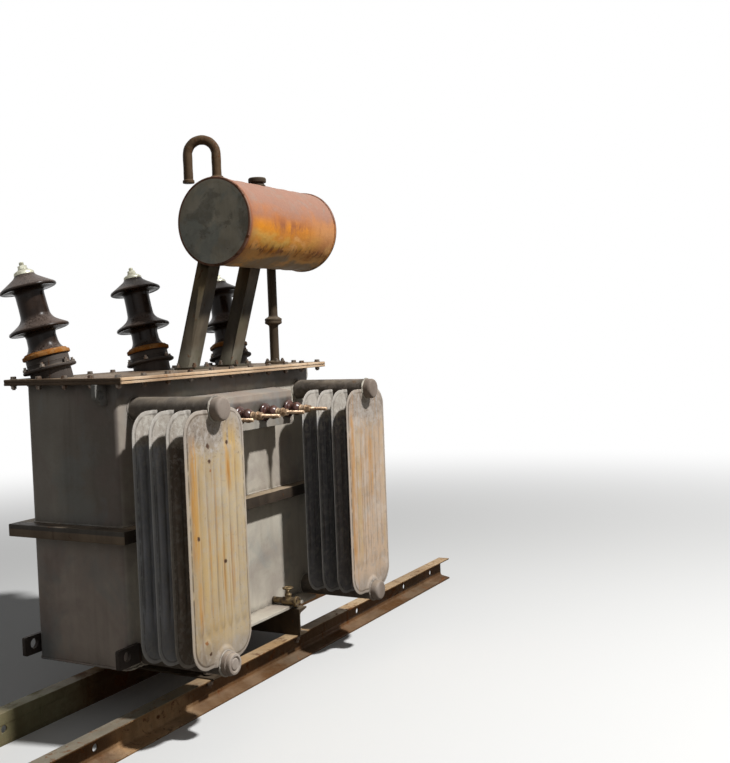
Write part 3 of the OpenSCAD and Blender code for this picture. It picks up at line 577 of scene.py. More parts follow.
def makeDrumFinish(name, look):
    material, tree, surface = newMaterial(name)
    where = objectPlace(tree)
    along = where.part("X")
    level = (where.part("Z") - look["axisZ"]) / look["radius"]
    runs = where.noise(42.0, 7.0, 0.68, stretch=(1.0, 0.14, 0.14))
    clouds = where.noise(8.0, 5.0, 0.58, 0.3, (1.0, 1.6, 1.6))
    blots = where.noise(24.0, 7.0, 0.66, 0.7)
    drops = where.noise(62.0, 5.0, 0.6, stretch=(1.0, 0.5, 0.5))
    fine = where.noise(130.0, 4.0, 0.7)

    # 1 at one level of the girth, 0 beyond its reach
    def around(centre, reach):
        return (1.0 - abs(level - centre) / reach).clamped()

    wave = runs.swing(0.22) + clouds.swing(1.5)
    height = level + wave
    inside = along.band(-0.03, -0.005) * along.band(0.39, 0.19)
    hot = (around(-0.34, 0.50) + wave * 0.6).band(0.05, 0.7)
    pale = (around(-0.42, 0.36) + wave * 0.5).band(0.35, 0.8)
    low = around(-0.64, 0.17) * drops.band(0.50, 0.58)
    scorch = around(-0.06, 0.22) * along.band(0.04, 0.14) * along.band(0.33, 0.20) * (blots + runs).band(0.86, 1.12)
    dark = where.noise(34.0, 8.0, 0.7, 0.3).band(0.64, 0.72)
    colour = look["under"]
    for mask, tone in (
            (height.band(-0.98, -0.72), "belly"),
            (height.band(-0.66, -0.36), "middle"),
            (along.band(0.20, 0.33) * around(-0.15, 0.6) * 0.8, "peach"),
            (height.band(-0.18, 0.40), "top"),
            (blots.band(0.50, 0.64) * level.band(0.15, 0.5) * 0.6, "grey"),
            (hot * inside * clouds.band(0.28, 0.55), "bright"),
            (pale * inside * clouds.band(0.42, 0.58) * 0.8, "yellow"),
            ((low * 0.8).clamped(), "spot"),
            (runs.band(0.54, 0.66) * around(-0.12, 0.40) * 0.4, "edge"),
            ((scorch * 0.9).clamped(), "edge"),
            (dark * 0.4, "spot"),
            (along.band(-0.012, -0.020), "edge"),
            (along.band(0.03, -0.02) * clouds.band(0.35, 0.55) * 0.5, "edge")):
        colour = mask.blend(colour, look[tone])
    fill(surface, {"Base Color": darkened(colour, 0.82 + fine * 0.36), "Roughness": 0.42 + clouds * 0.4,
                   "Specular IOR Level": 0.18, "Normal": bumped(fine + clouds * 2.0, 0.3, 0.003)})
    return material


drumPaint = makeDrumFinish("drumPaint", drumLook)

# dark brown glaze with a little dust
porcelainLook = {"glaze": (0.015, 0.0085, 0.0055), "thin": (0.031, 0.018, 0.012), "dust": (0.30, 0.235, 0.20),
                 "dustAmount": 0.5, "gloss": 0.20, "shine": 0.12}
lowPorcelainLook = {"glaze": (0.040, 0.012, 0.009), "thin": (0.075, 0.024, 0.016), "dust": (0.20, 0.13, 0.10),
                    "dustAmount": 0.3, "gloss": 0.16, "shine": 0.4}


def makePorcelain(name, look):
    material, tree, surface = newMaterial(name)
    where = objectPlace(tree)
    soft, speck = where.noise(24.0, 4.0, 0.5), where.noise(240.0, 5.0, 0.7)
    dust = facingUp(tree).band(0.15, 0.9) * speck.band(0.3, 0.7) * look["dustAmount"]
    colour = dust.blend(soft.band(0.4, 0.68).blend(look["glaze"], look["thin"]), look["dust"])
    film = look["gloss"] + soft.band(0.35, 0.7) * 0.14
    fill(surface, {"Base Color": colour, "Roughness": film + dust * 0.6, "Specular IOR Level": look["shine"],
                   "Normal": bumped(soft, 0.12, 0.002)})
    return material


porcelain = makePorcelain("porcelainGlaze", porcelainLook)
lowGlaze = makePorcelain("lowGlaze", lowPorcelainLook)


# bare metal: brass studs and valve, grey terminals and bolts
def makeMetal(name, bright, dull, metallic, roughness, grime):
    material, tree, surface = newMaterial(name)
    where = objectPlace(tree)
    tarnish = where.noise(55.0, 6.0, 0.65).band(0.42, 0.62)
    # the grime colour goes into corners as painted shade with some dirt
    colour = placeGroup(tree, cornerShadeGroup, {
        "Color": tarnish.blend(bright, dull), "Corner Colour": grime, "Reach": 0.008, "Amount": 0.7})
    fill(surface, {"Base Color": colour, "Roughness": (roughness + tarnish * 0.25).clamped(), "Metallic": metallic,
                   "Normal": bumped(where.noise(300.0, 4.0, 0.7), 0.15, 0.001)})
    return material


brassMetal = makeMetal("brassMetal", (0.52, 0.37, 0.24), (0.30, 0.19, 0.11), 0.45, 0.42, (0.06, 0.04, 0.025))
valveMetal = makeMetal("valveMetal", (0.21, 0.145, 0.065), (0.065, 0.042, 0.024), 0.4, 0.5, (0.03, 0.02, 0.012))
terminalMetal = makeMetal("terminalMetal", (0.64, 0.63, 0.50), (0.44, 0.42, 0.32), 0.5, 0.38, (0.1, 0.09, 0.07))
boltMetal = makeMetal("boltMetal", (0.20, 0.17, 0.14), (0.12, 0.065, 0.035), 0.5, 0.45, (0.03, 0.02, 0.015))


def makeGasket(name):
    material, tree, surface = newMaterial(name)
    where = objectPlace(tree)
    crumb, soak = where.noise(260.0, 5.0, 0.7), where.noise(12.0, 4.0, 0.6)
    colour = crumb.band(0.35, 0.65).blend((0.035, 0.022, 0.014), (0.11, 0.065, 0.035))
    colour = soak.band(0.5, 0.65).blend(colour, (0.012, 0.009, 0.007))
    fill(surface, {"Base Color": colour, "Roughness": 0.85, "Normal": bumped(crumb, 0.6, 0.002)})
    return material


gasketCork = makeGasket("gasketCork")
print("finishes made")


# a new piece in the scene
def placed(name, data):
    piece = bpy.data.objects.new(name, data)
    scene.collection.objects.link(piece)
    return piece


def shadedObject(name, mesh, material, sharp):
    mesh.name = name
    mesh.materials.clear()
    mesh.materials.append(material)
    mesh.polygons.foreach_set("use_smooth", [True] * len(mesh.polygons))
    mesh.set_sharp_from_angle(angle=math.radians(sharp))
    return placed(name, mesh)


# merges points that lie together, and turns every face outwards where asked
def weld(mesh, outwards):
    work = bmesh.new()
    work.from_mesh(mesh)
    bmesh.ops.remove_doubles(work, verts=work.verts, dist=0.00002)
    if outwards:
        bmesh.ops.recalc_face_normals(work, faces=work.faces)
    work.to_mesh(mesh)
    work.free()


def meshObject(name, points, faces, material, sharp=35.0):
    mesh = bpy.data.meshes.new(name)
    mesh.from_pydata([tuple(p) for p in points], [], faces)
    weld(mesh, True)
    return shadedObject(name, mesh, material, sharp)


# a CAD node's shape as one welded, smooth-shaded mesh
def copyOfNode(name, nodeName, material, sharp=28.0):
    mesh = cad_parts[nodeName].data.copy()
    weld(mesh, False)
    return shadedObject(name, mesh, material, sharp)


def joinPieces(name, parts, material, sharp=35.0):
    whole = bmesh.new()
    for part in parts:
        whole.from_mesh(part.data)
        mesh = part.data
        bpy.data.objects.remove(part)
        bpy.data.meshes.remove(mesh)
    mesh = bpy.data.meshes.new(name)
    whole.to_mesh(mesh)
    whole.free()
    return shadedObject(name, mesh, material, sharp)


def settle(piece, slotName, *nodes):
    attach(piece, "root")
    if nodes:
        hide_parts(*nodes)
    return piece


# corners of a polyline rounded by short curves; each point is (a, b) or (a, b, radius)
def rounded(points, steps=4, radius=0.0):
    result = []
    for i, point in enumerate(points):
        size = point[2] if len(point) > 2 else radius
        here = Vector(point[:2])
        if size <= 0 or i == 0 or i == len(points) - 1:
            result.append((here.x, here.y))
            continue
        before = Vector(points[i - 1][:2]) - here
        after = Vector(points[i + 1][:2]) - here
        reach = min(size, before.length * 0.48, after.length * 0.48)
        start = here + before.normalized() * reach
        end = here + after.normalized() * reach
        for k in range(steps + 1):
            t = k / steps
            spot = start * (1 - t) ** 2 + here * 2 * t * (1 - t) + end * t ** 2
            result.append((spot.x, spot.y))
    return result


# quads between rows of points; the last row joins the first if closed, otherwise both ends are capped
def rowFaces(rows, count, closed):
    faces = []
    for i in range(rows if closed else rows - 1):
        j = (i + 1) % rows
        for k in range(count):
            n = (k + 1) % count
            faces.append((i * count + k, i * count + n, j * count + n, j * count + k))
    if not closed:
        faces.append(tuple(range(count))[::-1])
        faces.append(tuple((rows - 1) * count + k for k in range(count)))
    return faces


def circlePoints(centre, side, other, radius, count):
    angles = [2 * math.pi * k / count for k in range(count)]
    return [centre + side * (radius * math.cos(a)) + other * (radius * math.sin(a)) for a in angles]


def circleLine(centre, radius, axis, count=40):
    axis = Vector(axis).normalized()
    side = axis.orthogonal().normalized()
    return circlePoints(Vector(centre), side, axis.cross(side), radius, count)


def turned(place, degrees, axis):
    return Matrix.Translation(place) @ Matrix.Rotation(math.radians(degrees), 4, axis)


# surface of revolution about +Z of the given matrix; profile is a list of (radius, height) in metres
def lathe(name, profile, matrix, material, segments=64, sharp=35.0):
    points, faces, rings = [], [], []
    for radius, height in profile:
        if radius < 1e-6:
            rings.append([len(points)])
            points.append(matrix @ Vector((0, 0, height)))
            continue
        start = len(points)
        rings.append(list(range(start, start + segments)))
        for k in range(segments):
            a = 2 * math.pi * k / segments
            points.append(matrix @ Vector((radius * math.cos(a), radius * math.sin(a), height)))
    for low, high in zip(rings, rings[1:]):
        for k in range(segments):
            n = (k + 1) % segments
            if len(low) == 1 and len(high) > 1:
                faces.append((low[0], high[n], high[k]))
            elif len(high) == 1 and len(low) > 1:
                faces.append((low[k], low[n], high[0]))
            elif len(low) > 1:
                faces.append((low[k], low[n], high[n], high[k]))
    return meshObject(name, points, faces, material, sharp)


# capped tube along a path, with a radius for each of its points
def tube(name, path, radii, material, segments=24, sharp=35.0):
    points, side = [], None
    for i, spot in enumerate(path):
        ahead = (path[min(i + 1, len(path) - 1)] - path[max(i - 1, 0)]).normalized()
        side = side or ahead.orthogonal().normalized()
        side = (side - ahead * side.dot(ahead)).normalized()
        points += circlePoints(spot, side, ahead.cross(side), radii[i], segments)
    return meshObject(name, points, rowFaces(len(path), segments, False), material, sharp)


# ring tube through a loop of points
def closedTube(name, loop, radius, material, segments=12, sharp=40.0):
    centre = sum(loop, Vector()) / len(loop)
    points = []
    for i, spot in enumerate(loop):
        ahead = (loop[(i + 1) % len(loop)] - loop[i - 1]).normalized()
        out = spot - centre
        out = (out - ahead * out.dot(ahead)).normalized()
        points += circlePoints(spot, out, ahead.cross(out), radius, segments)
    return meshObject(name, points, rowFaces(len(loop), segments, True), material, sharp)


# outline of a rounded rectangle, its straight runs divided into the given numbers of spans
def ringOutline(halfX, halfY, radius, cornerSteps=6, spans=(17, 6)):
    outline = []
    centres = ((halfX - radius, halfY - radius, 0), (-halfX + radius, halfY - radius, 90),
               (-halfX + radius, -halfY + radius, 180), (halfX - radius, -halfY + radius, 270))
    for c, (x, y, startAngle) in enumerate(centres):
        for k in range(cornerSteps + 1):
            a = math.radians(startAngle + 90 * k / cornerSteps)
            outline.append((x + radius * math.cos(a), y + radius * math.sin(a)))
        nx, ny, nextAngle = centres[(c + 1) % 4]
        a = math.radians(nextAngle)
        target = Vector((nx + radius * math.cos(a), ny + radius * math.sin(a)))
        start = Vector(outline[-1])
        count = spans[c % 2]
        outline.extend(tuple(start.lerp(target, k / count)) for k in range(1, count))
    return outline


tankPlan = {"halfX": 0.430, "halfY": 0.1425, "corner": 0.014, "grow": 1.0, "centreY": 0.08525, "low": 0.150,
            "high": 0.822}
rimPlan = {"halfX": 0.460, "halfY": 0.1875, "corner": 0.006, "grow": 1.0, "curbLow": 0.822, "joint": 0.829,
           "top": 0.837}


# a section of (outward offset, z) swept round the tank's plan; closed sections make rings
def sweptRing(name, base, section, material, closed, sharp=35.0):
    points = []
    for offset, z in section:
        radius = max(0.0015, base["corner"] + offset * base["grow"])
        outline = ringOutline(base["halfX"] + offset, base["halfY"] + offset, radius)
        points += [(x, y + tankPlan["centreY"], z) for x, y in outline]
    return meshObject(name, points, rowFaces(len(section), len(outline), closed), material, sharp)


# flat plate with softened edges from a convex outline
def bevelledPlate(name, outline, low, high, edge, material):
    centre = Vector((sum(x for x, _ in outline), sum(y for _, y in outline))) / len(outline)
    points = []
    for z, inset in ((low, edge), (low + edge, 0.0), (high - edge, 0.0), (high, edge)):
        for x, y in outline:
            inward = centre - Vector((x, y))
            points.append((x + math.copysign(inset, inward.x), y + math.copysign(inset, inward.y), z))
    return meshObject(name, points, rowFaces(4, len(outline), False), material)


# tank, ledge, rim, gasket and stiffener band
ledgeShape = {"halfX": 0.328, "frontY": -0.11925, "backY": -0.0565, "cut": 0.006, "thick": 0.008, "edge": 0.0008}


def makeTank():
    plan, rim, levels = tankPlan, rimPlan, 26
    low, high, joint, top = plan["low"], plan["high"], rim["joint"], rim["top"]
    wall = [(-0.0015, low), (-0.0004, low + 0.0004), (0.0, low + 0.002)]
    wall += [(0.0, low + (high - low) * i / levels) for i in range(1, levels)] + [(0.0, high + 0.0002)]
    walls = sweptRing("tankWalls", plan, wall, tankPaint, False)
    curb = [(-0.06, rim["curbLow"]), (-0.001, rim["curbLow"]), (0.0, rim["curbLow"] + 0.001),
            (0.0, joint - 0.0014), (-0.0008, joint - 0.0006), (-0.06, joint - 0.0006)]
    settle(sweptRing("curbFlange", rim, curb, rimPaint, True), "tank_paint")
    half, front, cut = ledgeShape["halfX"], ledgeShape["frontY"], ledgeShape["cut"]
    outline = [(half, ledgeShape["backY"]), (-half, ledgeShape["backY"]), (-half, front + cut), (-half + cut, front),
               (half - cut, front), (half, front + cut)]
    ledge = bevelledPlate("ledge", outline, low, low + ledgeShape["thick"], ledgeShape["edge"], tankPaint)
    settle(joinPieces("tankShell", [walls, ledge], tankPaint), "tank_paint", "tank_body")
    seal = [(-0.05, joint - 0.0012), (-0.0012, joint - 0.0012), (-0.0004, joint), (-0.0012, joint + 0.0012),
            (-0.05, joint + 0.0012)]
    settle(sweptRing("coverGasket", rim, seal, gasketCork, True), "rusty_paint")
    lid = [(-0.004, joint + 0.0008), (-0.001, joint + 0.0008), (0.0, joint + 0.0018), (0.0, top - 0.0016),
           (-0.0005, top - 0.0005), (-0.0018, top)]
    settle(sweptRing("topCover", rim, lid, rimPaint, False), "rusty_paint", "tank_cover")


makeTank()

bandLook = {"top": 0.486, "inner": -0.006, "reach": 0.040, "face": 0.030, "steel": 0.005, "rounding": 0.0014}


def makeBand():
    inner, reach, top, steel = bandLook["inner"], bandLook["reach"], bandLook["top"], bandLook["steel"]
    low = top - bandLook["face"]
    section = rounded([(inner, top - steel), (reach - steel, top - steel), (reach - steel, low), (reach, low),
                       (reach, top), (inner, top), (inner, top - steel)], 3, bandLook["rounding"])
    plan = dict(tankPlan, corner=0.0015, grow=0.0)
    band = sweptRing("stiffenerBand", plan, section[:-1], bandSteel, True, 50.0)
    settle(band, "tank_paint", "band_front", "band_back", "band_near_end", "band_far_end")


makeBand()
print("tank made")


# radiators: one pressed fin by rule, repeated along its headers by geometry nodes
finShape = {"width": 0.226, "height": 0.582, "corner": 0.056, "sheet": 0.0015, "flutes": 7, "edge": 0.015,
            "rimFlat": 0.006, "panelRise": 0.0012, "panelSlope": 0.006, "depth": 0.0026, "land": 0.0030,
            "fluteTop": 0.078, "endGap": 0.021, "bossRadius": 0.042, "bossDepth": 0.0056, "bossSlope": 0.007,
            "grooveFade": 0.06, "grooveHalf": 0.0075,
            "pitch": 0.048, "first": -0.13925, "count": 4, "lowZ": 0.177, "highZ": 0.759, "centreX": 0.364}


def finHalfHeight(x, shape):
    over = abs(x) - (shape["width"] / 2 - shape["corner"])
    half = shape["height"] / 2
    if over <= 0:
        return half
    return half - shape["corner"] + math.sqrt(max(0.0, shape["corner"] ** 2 - over * over))


def finInset(x, z, shape):
    half, corner = shape["width"] / 2, shape["corner"]
    acrossGap, upGap = abs(x) - (half - corner), abs(z) - (shape["height"] / 2 - corner)
    if acrossGap > 0 and upGap > 0:
        return corner - math.hypot(acrossGap, upGap)
    return corner - max(acrossGap, upGap)


# half the length of the flute or groove at x
def fluteReach(x, shape):
    return min(finHalfHeight(x, shape) - shape["endGap"], shape["height"] / 2 - shape["fluteTop"])


def finRelief(x, z, shape, ring=None):
    inset = finInset(x, z, shape)
    step = min(1.0, max(0.0, (inset - shape["rimFlat"]) / shape["panelSlope"]))
    relief = shape["panelRise"] * step * step * (3 - 2 * step)
    pitch = (shape["width"] - 2 * shape["edge"]) / shape["flutes"]
    wide = (pitch - shape["land"]) / 2
    index = round(x / pitch)
    if abs(index) <= shape["flutes"] // 2:
        centre = index * pitch
        past = max(0.0, abs(z) - (fluteReach(abs(centre) + wide, shape) - wide * 2.2)) / 2.2
        away = math.hypot(x - centre, past) / wide
        if away < 1.0:
            relief += shape["depth"] * (1 - away ** 2.4)
    boss = math.hypot(x, abs(z) - shape["height"] / 2)
    if boss < shape["bossRadius"]:
        rise = min(1.0, (shape["bossRadius"] - boss) / shape["bossSlope"])
        relief = max(relief, shape["bossDepth"] * rise * rise * (3 - 2 * rise))
    if ring:
        off = abs(math.hypot((x - ring["x"]) / ring["across"], (z - ring["z"]) / ring["up"]) - 1) * ring["across"]
        if off < ring["bead"]:
            relief += ring["rise"] * (1 - (off / ring["bead"]) ** 2)
    return relief


# 1 in the middle of the flat lands between two flutes, 0 on the flutes and past their ends
def finGroove(x, z, shape):
    pitch = (shape["width"] - 2 * shape["edge"]) / shape["flutes"]
    index = round(x / pitch - 0.5)
    if not -shape["flutes"] // 2 < index + 0.5 < shape["flutes"] // 2 + 0.5:
        return 0.0
    land = (index + 0.5) * pitch
    length = fluteReach(abs(land), shape)
    along = min(1.0, max(0.0, (length - abs(z)) / shape["grooveFade"]))
    return along * max(0.0, 1 - abs(x - land) / shape["grooveHalf"])


# a value for each point, kept on the mesh for the tree or the material that reads it
def keepValues(mesh, name, values):
    mesh.attributes.new(name, "FLOAT", "POINT").data.foreach_set("value", values)


def makeFinMesh(name, shape, material, ring=None):
    columns, rows = 92, 128
    half = shape["width"] / 2
    xs = []
    for i in range(columns + 1):
        t = -1 + 2 * i / columns
        xs.append(half * (0.82 * t + 0.18 * math.sin(t * math.pi / 2)))
    points, faces = [], []
    index = {}
    for side in (-1, 1):
        for i, x in enumerate(xs):
            tall = finHalfHeight(min(abs(x), half - 0.0001), shape)
            for j in range(rows + 1):
                t = -1 + 2 * j / rows
                z = tall * (0.7 * t + 0.3 * math.sin(t * math.pi / 2))
                rimGap = min(half - abs(x), tall - abs(z))
                lip = shape["sheet"] * (0.35 + 0.65 * min(1.0, rimGap / 0.0015))
                index[(side, i, j)] = len(points)
                points.append((x, side * (lip + finRelief(x, z, shape, ring)), z))
    for side in (-1, 1):
        for i in range(columns):
            for j in range(rows):
                quad = [index[(side, i, j)], index[(side, i + 1, j)], index[(side, i + 1, j + 1)],
                        index[(side, i, j + 1)]]
                faces.append(quad if side < 0 else quad[::-1])
    loop = [(i, 0) for i in range(columns)] + [(columns, j) for j in range(rows)]
    loop += [(i, rows) for i in range(columns, 0, -1)] + [(0, j) for j in range(rows, 0, -1)]
    for k, here in enumerate(loop):
        after = loop[(k + 1) % len(loop)]
        faces.append((index[(1,) + here], index[(1,) + after], index[(-1,) + after], index[(-1,) + here]))
    fin = meshObject(name, points, faces, material, 40.0)
    spots = [(v.co.x, v.co.z) for v in fin.data.vertices]
    keepValues(fin.data, "inset", [finInset(x, z, shape) for x, z in spots])
    keepValues(fin.data, "groove", [finGroove(x, z, shape) for x, z in spots])
    return fin


# every tree ends in real geometry that wears the finish it was given
def endTree(tree, made, inputs, end):
    real = valueOf(tree, "GeometryNodeRealizeInstances", None, {"Geometry": made})
    fill(end, {"Geometry": valueOf(tree, "GeometryNodeSetMaterial", None, {
        "Geometry": real, "Material": inputs["Finish"]})})
    return tree


# runs a tree on an object and returns the result as a new plain mesh object
def grown(name, source, tree, values, material, sharp=35.0):
    modifier = source.modifiers.new("grow", "NODES")
    modifier.node_group = tree
    identifiers = {item.name: item.identifier for item in tree.interface.items_tree if item.in_out == "INPUT"}
    for label, value in dict(values, Finish=material).items():
        modifier[identifiers[label]] = value
    source.update_tag()
    bpy.context.view_layer.update()
    evaluated = source.evaluated_get(bpy.context.evaluated_depsgraph_get())
    mesh = bpy.data.meshes.new_from_object(evaluated)
    source.modifiers.remove(modifier)
    bpy.data.objects.remove(source)
    return shadedObject(name, mesh, material, sharp)


def makeRowTree():
    tree, inputs, end = newGroup("finRow", "GeometryNodeTree", [
        ("Geometry", "Geometry"), ("Count", "Int", 4), ("First", "Vector", (0, 0, 0)),
        ("Pitch", "Vector", (0, -0.048, 0)), ("Finish", "Material")], [("Geometry", "Geometry")])
    row = valueOf(tree, "GeometryNodeMeshLine", {"mode": "OFFSET"}, {
        "Count": inputs["Count"], "Start Location": inputs["First"], "Offset": inputs["Pitch"]})
    spread = valueOf(tree, "GeometryNodeInstanceOnPoints", None, {"Points": row, "Instance": inputs["Geometry"]})
    return endTree(tree, spread, inputs, end)


rowTree = makeRowTree()
headerLook = {"radius": 0.028, "wallY": -0.05725, "endY": -0.31525}
# a half-round ring pressed into the near outermost fin
stampedRing = {"x": -0.062, "z": -0.250, "across": 0.011, "up": 0.022, "bead": 0.0045, "rise": 0.0016}


def makeRadiator(sideName, sign, outerFinish, ring):
    shape = finShape
    middle = (shape["lowZ"] + shape["highZ"]) / 2
    for word, numbers, material in (("Inner", (1, 2, 3), innerFinPaint), ("Outer", (4,), outerFinish)):
        fin = makeFinMesh("finSource", shape, material, ring if word == "Outer" else None)
        start = shape["first"] - (numbers[0] - 1) * shape["pitch"]
        piece = grown(f"{sideName}Fins{word}", fin, rowTree, {
            "Count": len(numbers), "First": (sign * shape["centreX"], start, middle),
            "Pitch": (0.0, -shape["pitch"], 0.0)}, material, 40.0)
        settle(piece, "fin_paint", *[f"{sideName}_fin_{n}" for n in numbers])
    r, end, wall = headerLook["radius"], -headerLook["endY"], -headerLook["wallY"]
    for level, z in (("top", shape["highZ"]), ("bottom", shape["lowZ"])):
        cap = [(0, end), (r * 0.6, end), (r - 0.0035, end - 0.001, 0.004), (r, end - 0.006, 0.004)]
        if sideName == "near" and level == "bottom":
            cap = [(0, end - 0.001), (0.0120, end - 0.001), (0.0150, end - 0.0035, 0.001), (0.0180, end, 0.001),
                   (0.0235, end - 0.0005, 0.001), (0.0248, end - 0.003, 0.001), (0.0250, end - 0.011),
                   (r, end - 0.0115, 0.001)]
        pipe = lathe(f"{sideName}Header{level.capitalize()}", rounded(cap + [(r, end - 0.014), (r, wall), (0, wall)]),
                     turned((sign * shape["centreX"], 0, z), 90, "X"), headerPaint, 56, 30.0)
        settle(pipe, "tank_paint", f"{sideName}_header_{level}")


makeRadiator("near", -1, nearFinPaint, stampedRing)
makeRadiator("far", 1, farFinPaint, None)
print("radiators made")


# hexagon bolts with washers, set on points along an aim direction by geometry nodes
boltSizes = ("Head Radius", "Head Height", "Washer Radius", "Washer Height", "Stud Radius", "Stud Length")


def makeBoltTree():
    defaults = (0.009, 0.007, 0.011, 0.0016, 0.005, 0.012)
    tree, inputs, end = newGroup("hexBolts", "GeometryNodeTree", [("Geometry", "Geometry")] + [
        (label, "Float", size) for label, size in zip(boltSizes, defaults)] + [("Finish", "Material")], [
        ("Geometry", "Geometry")])

    def disc(vertices, radius, low, height):
        drum = valueOf(tree, "GeometryNodeMeshCylinder", {"fill_type": "NGON"}, {
            "Vertices": vertices, "Radius": radius, "Depth": height})
        lift = valueOf(tree, "ShaderNodeCombineXYZ", None, {"Z": height * 0.5 + low})
        return valueOf(tree, "GeometryNodeTransform", None, {"Geometry": drum, "Translation": lift})

    def named(name, kind):
        return valueOf(tree, "GeometryNodeInputNamedAttribute", {"data_type": kind}, {"Name": name})

    headRadius, headHeight, washerRadius, washerHeight, studRadius, studLength = (inputs[k] for k in boltSizes)
    whole = addNode(tree, "GeometryNodeJoinGeometry")
    for part in (disc(16, washerRadius, 0.0, washerHeight),
                 disc(6, headRadius, washerHeight, headHeight),
                 disc(14, headRadius * 0.8, washerHeight + headHeight, 0.0006),
                 disc(10, studRadius, washerHeight, studLength)):
        fill(whole, {0: part})
    spin = valueOf(tree, "ShaderNodeCombineXYZ", None, {"Z": named("turn", "FLOAT")})
    facing = valueOf(tree, "FunctionNodeAlignRotationToVector", {"axis": "Z"}, {
        "Vector": named("aim", "FLOAT_VECTOR")})
    twist = valueOf(tree, "FunctionNodeEulerToRotation", None, {0: spin})
    rotation = valueOf(tree, "FunctionNodeRotateRotation", {"rotation_space": "LOCAL"}, {0: facing, 1: twist})
    spread = valueOf(tree, "GeometryNodeInstanceOnPoints", None, {
        "Points": inputs["Geometry"], "Instance": Value(tree, whole.outputs[0]), "Rotation": rotation})
    return endTree(tree, spread, inputs, end)


boltTree = makeBoltTree()


# spots is a list of (position, aim direction); sizes follow boltSizes
def boltsAt(name, spots, sizes, material, seed):
    draw = random.Random(seed)
    mesh = bpy.data.meshes.new(name)
    mesh.from_pydata([tuple(place) for place, _ in spots], [], [])
    aim = mesh.attributes.new("aim", "FLOAT_VECTOR", "POINT")
    aim.data.foreach_set("vector", [v for _, direction in spots for v in direction])
    keepValues(mesh, "turn", [draw.uniform(0, math.pi / 3) for _ in spots])
    return grown(name, placed(name, mesh), boltTree, dict(zip(boltSizes, sizes)), material, 30.0)


# four spots at the corners of a square turned by 45 degrees, as (across, along)
def fourRound(radius):
    angles = [math.pi / 4 + math.pi / 2 * k for k in range(4)]
    return [(radius * math.cos(a), radius * math.sin(a)) for a in angles]


rimBolts = {"lineX": 0.4455, "lineY": 0.166, "spacing": 0.092, "low": 0.822, "top": 0.837, "turretX": 0.380,
            "turretY": 0.102, "turretGap": 0.066, "head": (0.0075, 0.0052, 0.0085, 0.0014, 0.004, 0.0052),
            "nut": (0.0075, 0.0064, 0.0085, 0.0014, 0.004, 0.0095)}


def makeRimBolts():
    look = rimBolts
    spots = []
    alongX, alongY = (round(2 * look[line] / look["spacing"]) for line in ("lineX", "lineY"))
    for s in (-1, 1):
        for k in range(alongX + 1):
            spots.append((-look["lineX"] + 2 * look["lineX"] * k / alongX, s * look["lineY"]))
        for k in range(1, alongY):
            spots.append((s * look["lineX"], -look["lineY"] + 2 * look["lineY"] * k / alongY))
    heads, nuts = [], []
    for x, y in spots:
        if all(math.hypot(x - s * look["turretX"], y - look["turretY"]) > look["turretGap"] for s in (-1, 0, 1)):
            heads.append(((x, y + tankPlan["centreY"], look["top"]), (0, 0, 1)))
        nuts.append(((x, y + tankPlan["centreY"], look["low"]), (0, 0, -1)))
    top = boltsAt("rimHeads", heads, look["head"], boltMetal, 3)
    under = boltsAt("rimNuts", nuts, look["nut"], boltMetal, 4)
    settle(joinPieces("rimBolts", [top, under], boltMetal, 30.0), "rusty_steel")


makeRimBolts()


# weld beads that follow a line, with ripples, by geometry nodes
def makeBeadTree():
    tree, inputs, end = newGroup("weldBead", "GeometryNodeTree", [
        ("Geometry", "Geometry"), ("Radius", "Float", 0.003), ("Step", "Float", 0.0035), ("Ripple", "Float", 0.0009),
        ("Finish", "Material")], [("Geometry", "Geometry")])
    line = valueOf(tree, "GeometryNodeMeshToCurve", None, {"Mesh": inputs["Geometry"]})
    even = valueOf(tree, "GeometryNodeResampleCurve", {"mode": "LENGTH"}, {"Curve": line, "Length": inputs["Step"]})
    ring = valueOf(tree, "GeometryNodeCurvePrimitiveCircle", None, {"Resolution": 6, "Radius": inputs["Radius"]})
    bead = valueOf(tree, "GeometryNodeCurveToMesh", None, {"Curve": even, "Profile Curve": ring, "Fill Caps": True})
    noise = valueOf(tree, "ShaderNodeTexNoise", None, {
        "Vector": valueOf(tree, "GeometryNodeInputPosition"), "Scale": 260.0, "Detail": 2.0})
    push = noise.swing(inputs["Ripple"] * 4.0)
    shove = valueOf(tree, "ShaderNodeVectorMath", {"operation": "SCALE"}, {
        0: valueOf(tree, "GeometryNodeInputNormal"), 3: push})
    moved = valueOf(tree, "GeometryNodeSetPosition", None, {"Geometry": bead, "Offset": shove})
    return endTree(tree, moved, inputs, end)


beadTree = makeBeadTree()


# beads along closed lines of points
def beadsAlong(name, lines, radius, material, ripple=0.0009):
    points, edges = [], []
    for line in lines:
        start, count = len(points), len(line)
        points.extend(tuple(p) for p in line)
        edges.extend((start + k, start + (k + 1) % count) for k in range(count))
    mesh = bpy.data.meshes.new(name)
    mesh.from_pydata(points, edges, [])
    sizes = {"Radius": radius, "Step": 0.0035, "Ripple": ripple}
    return grown(name, placed(name, mesh), beadTree, sizes, material, 60.0)


weldLook = {"bead": 0.0028, "offset": 0.0005, "seamGap": 0.001, "wallGap": 0.001, "outerGap": 0.0006,
            "outerY": 0.0012}


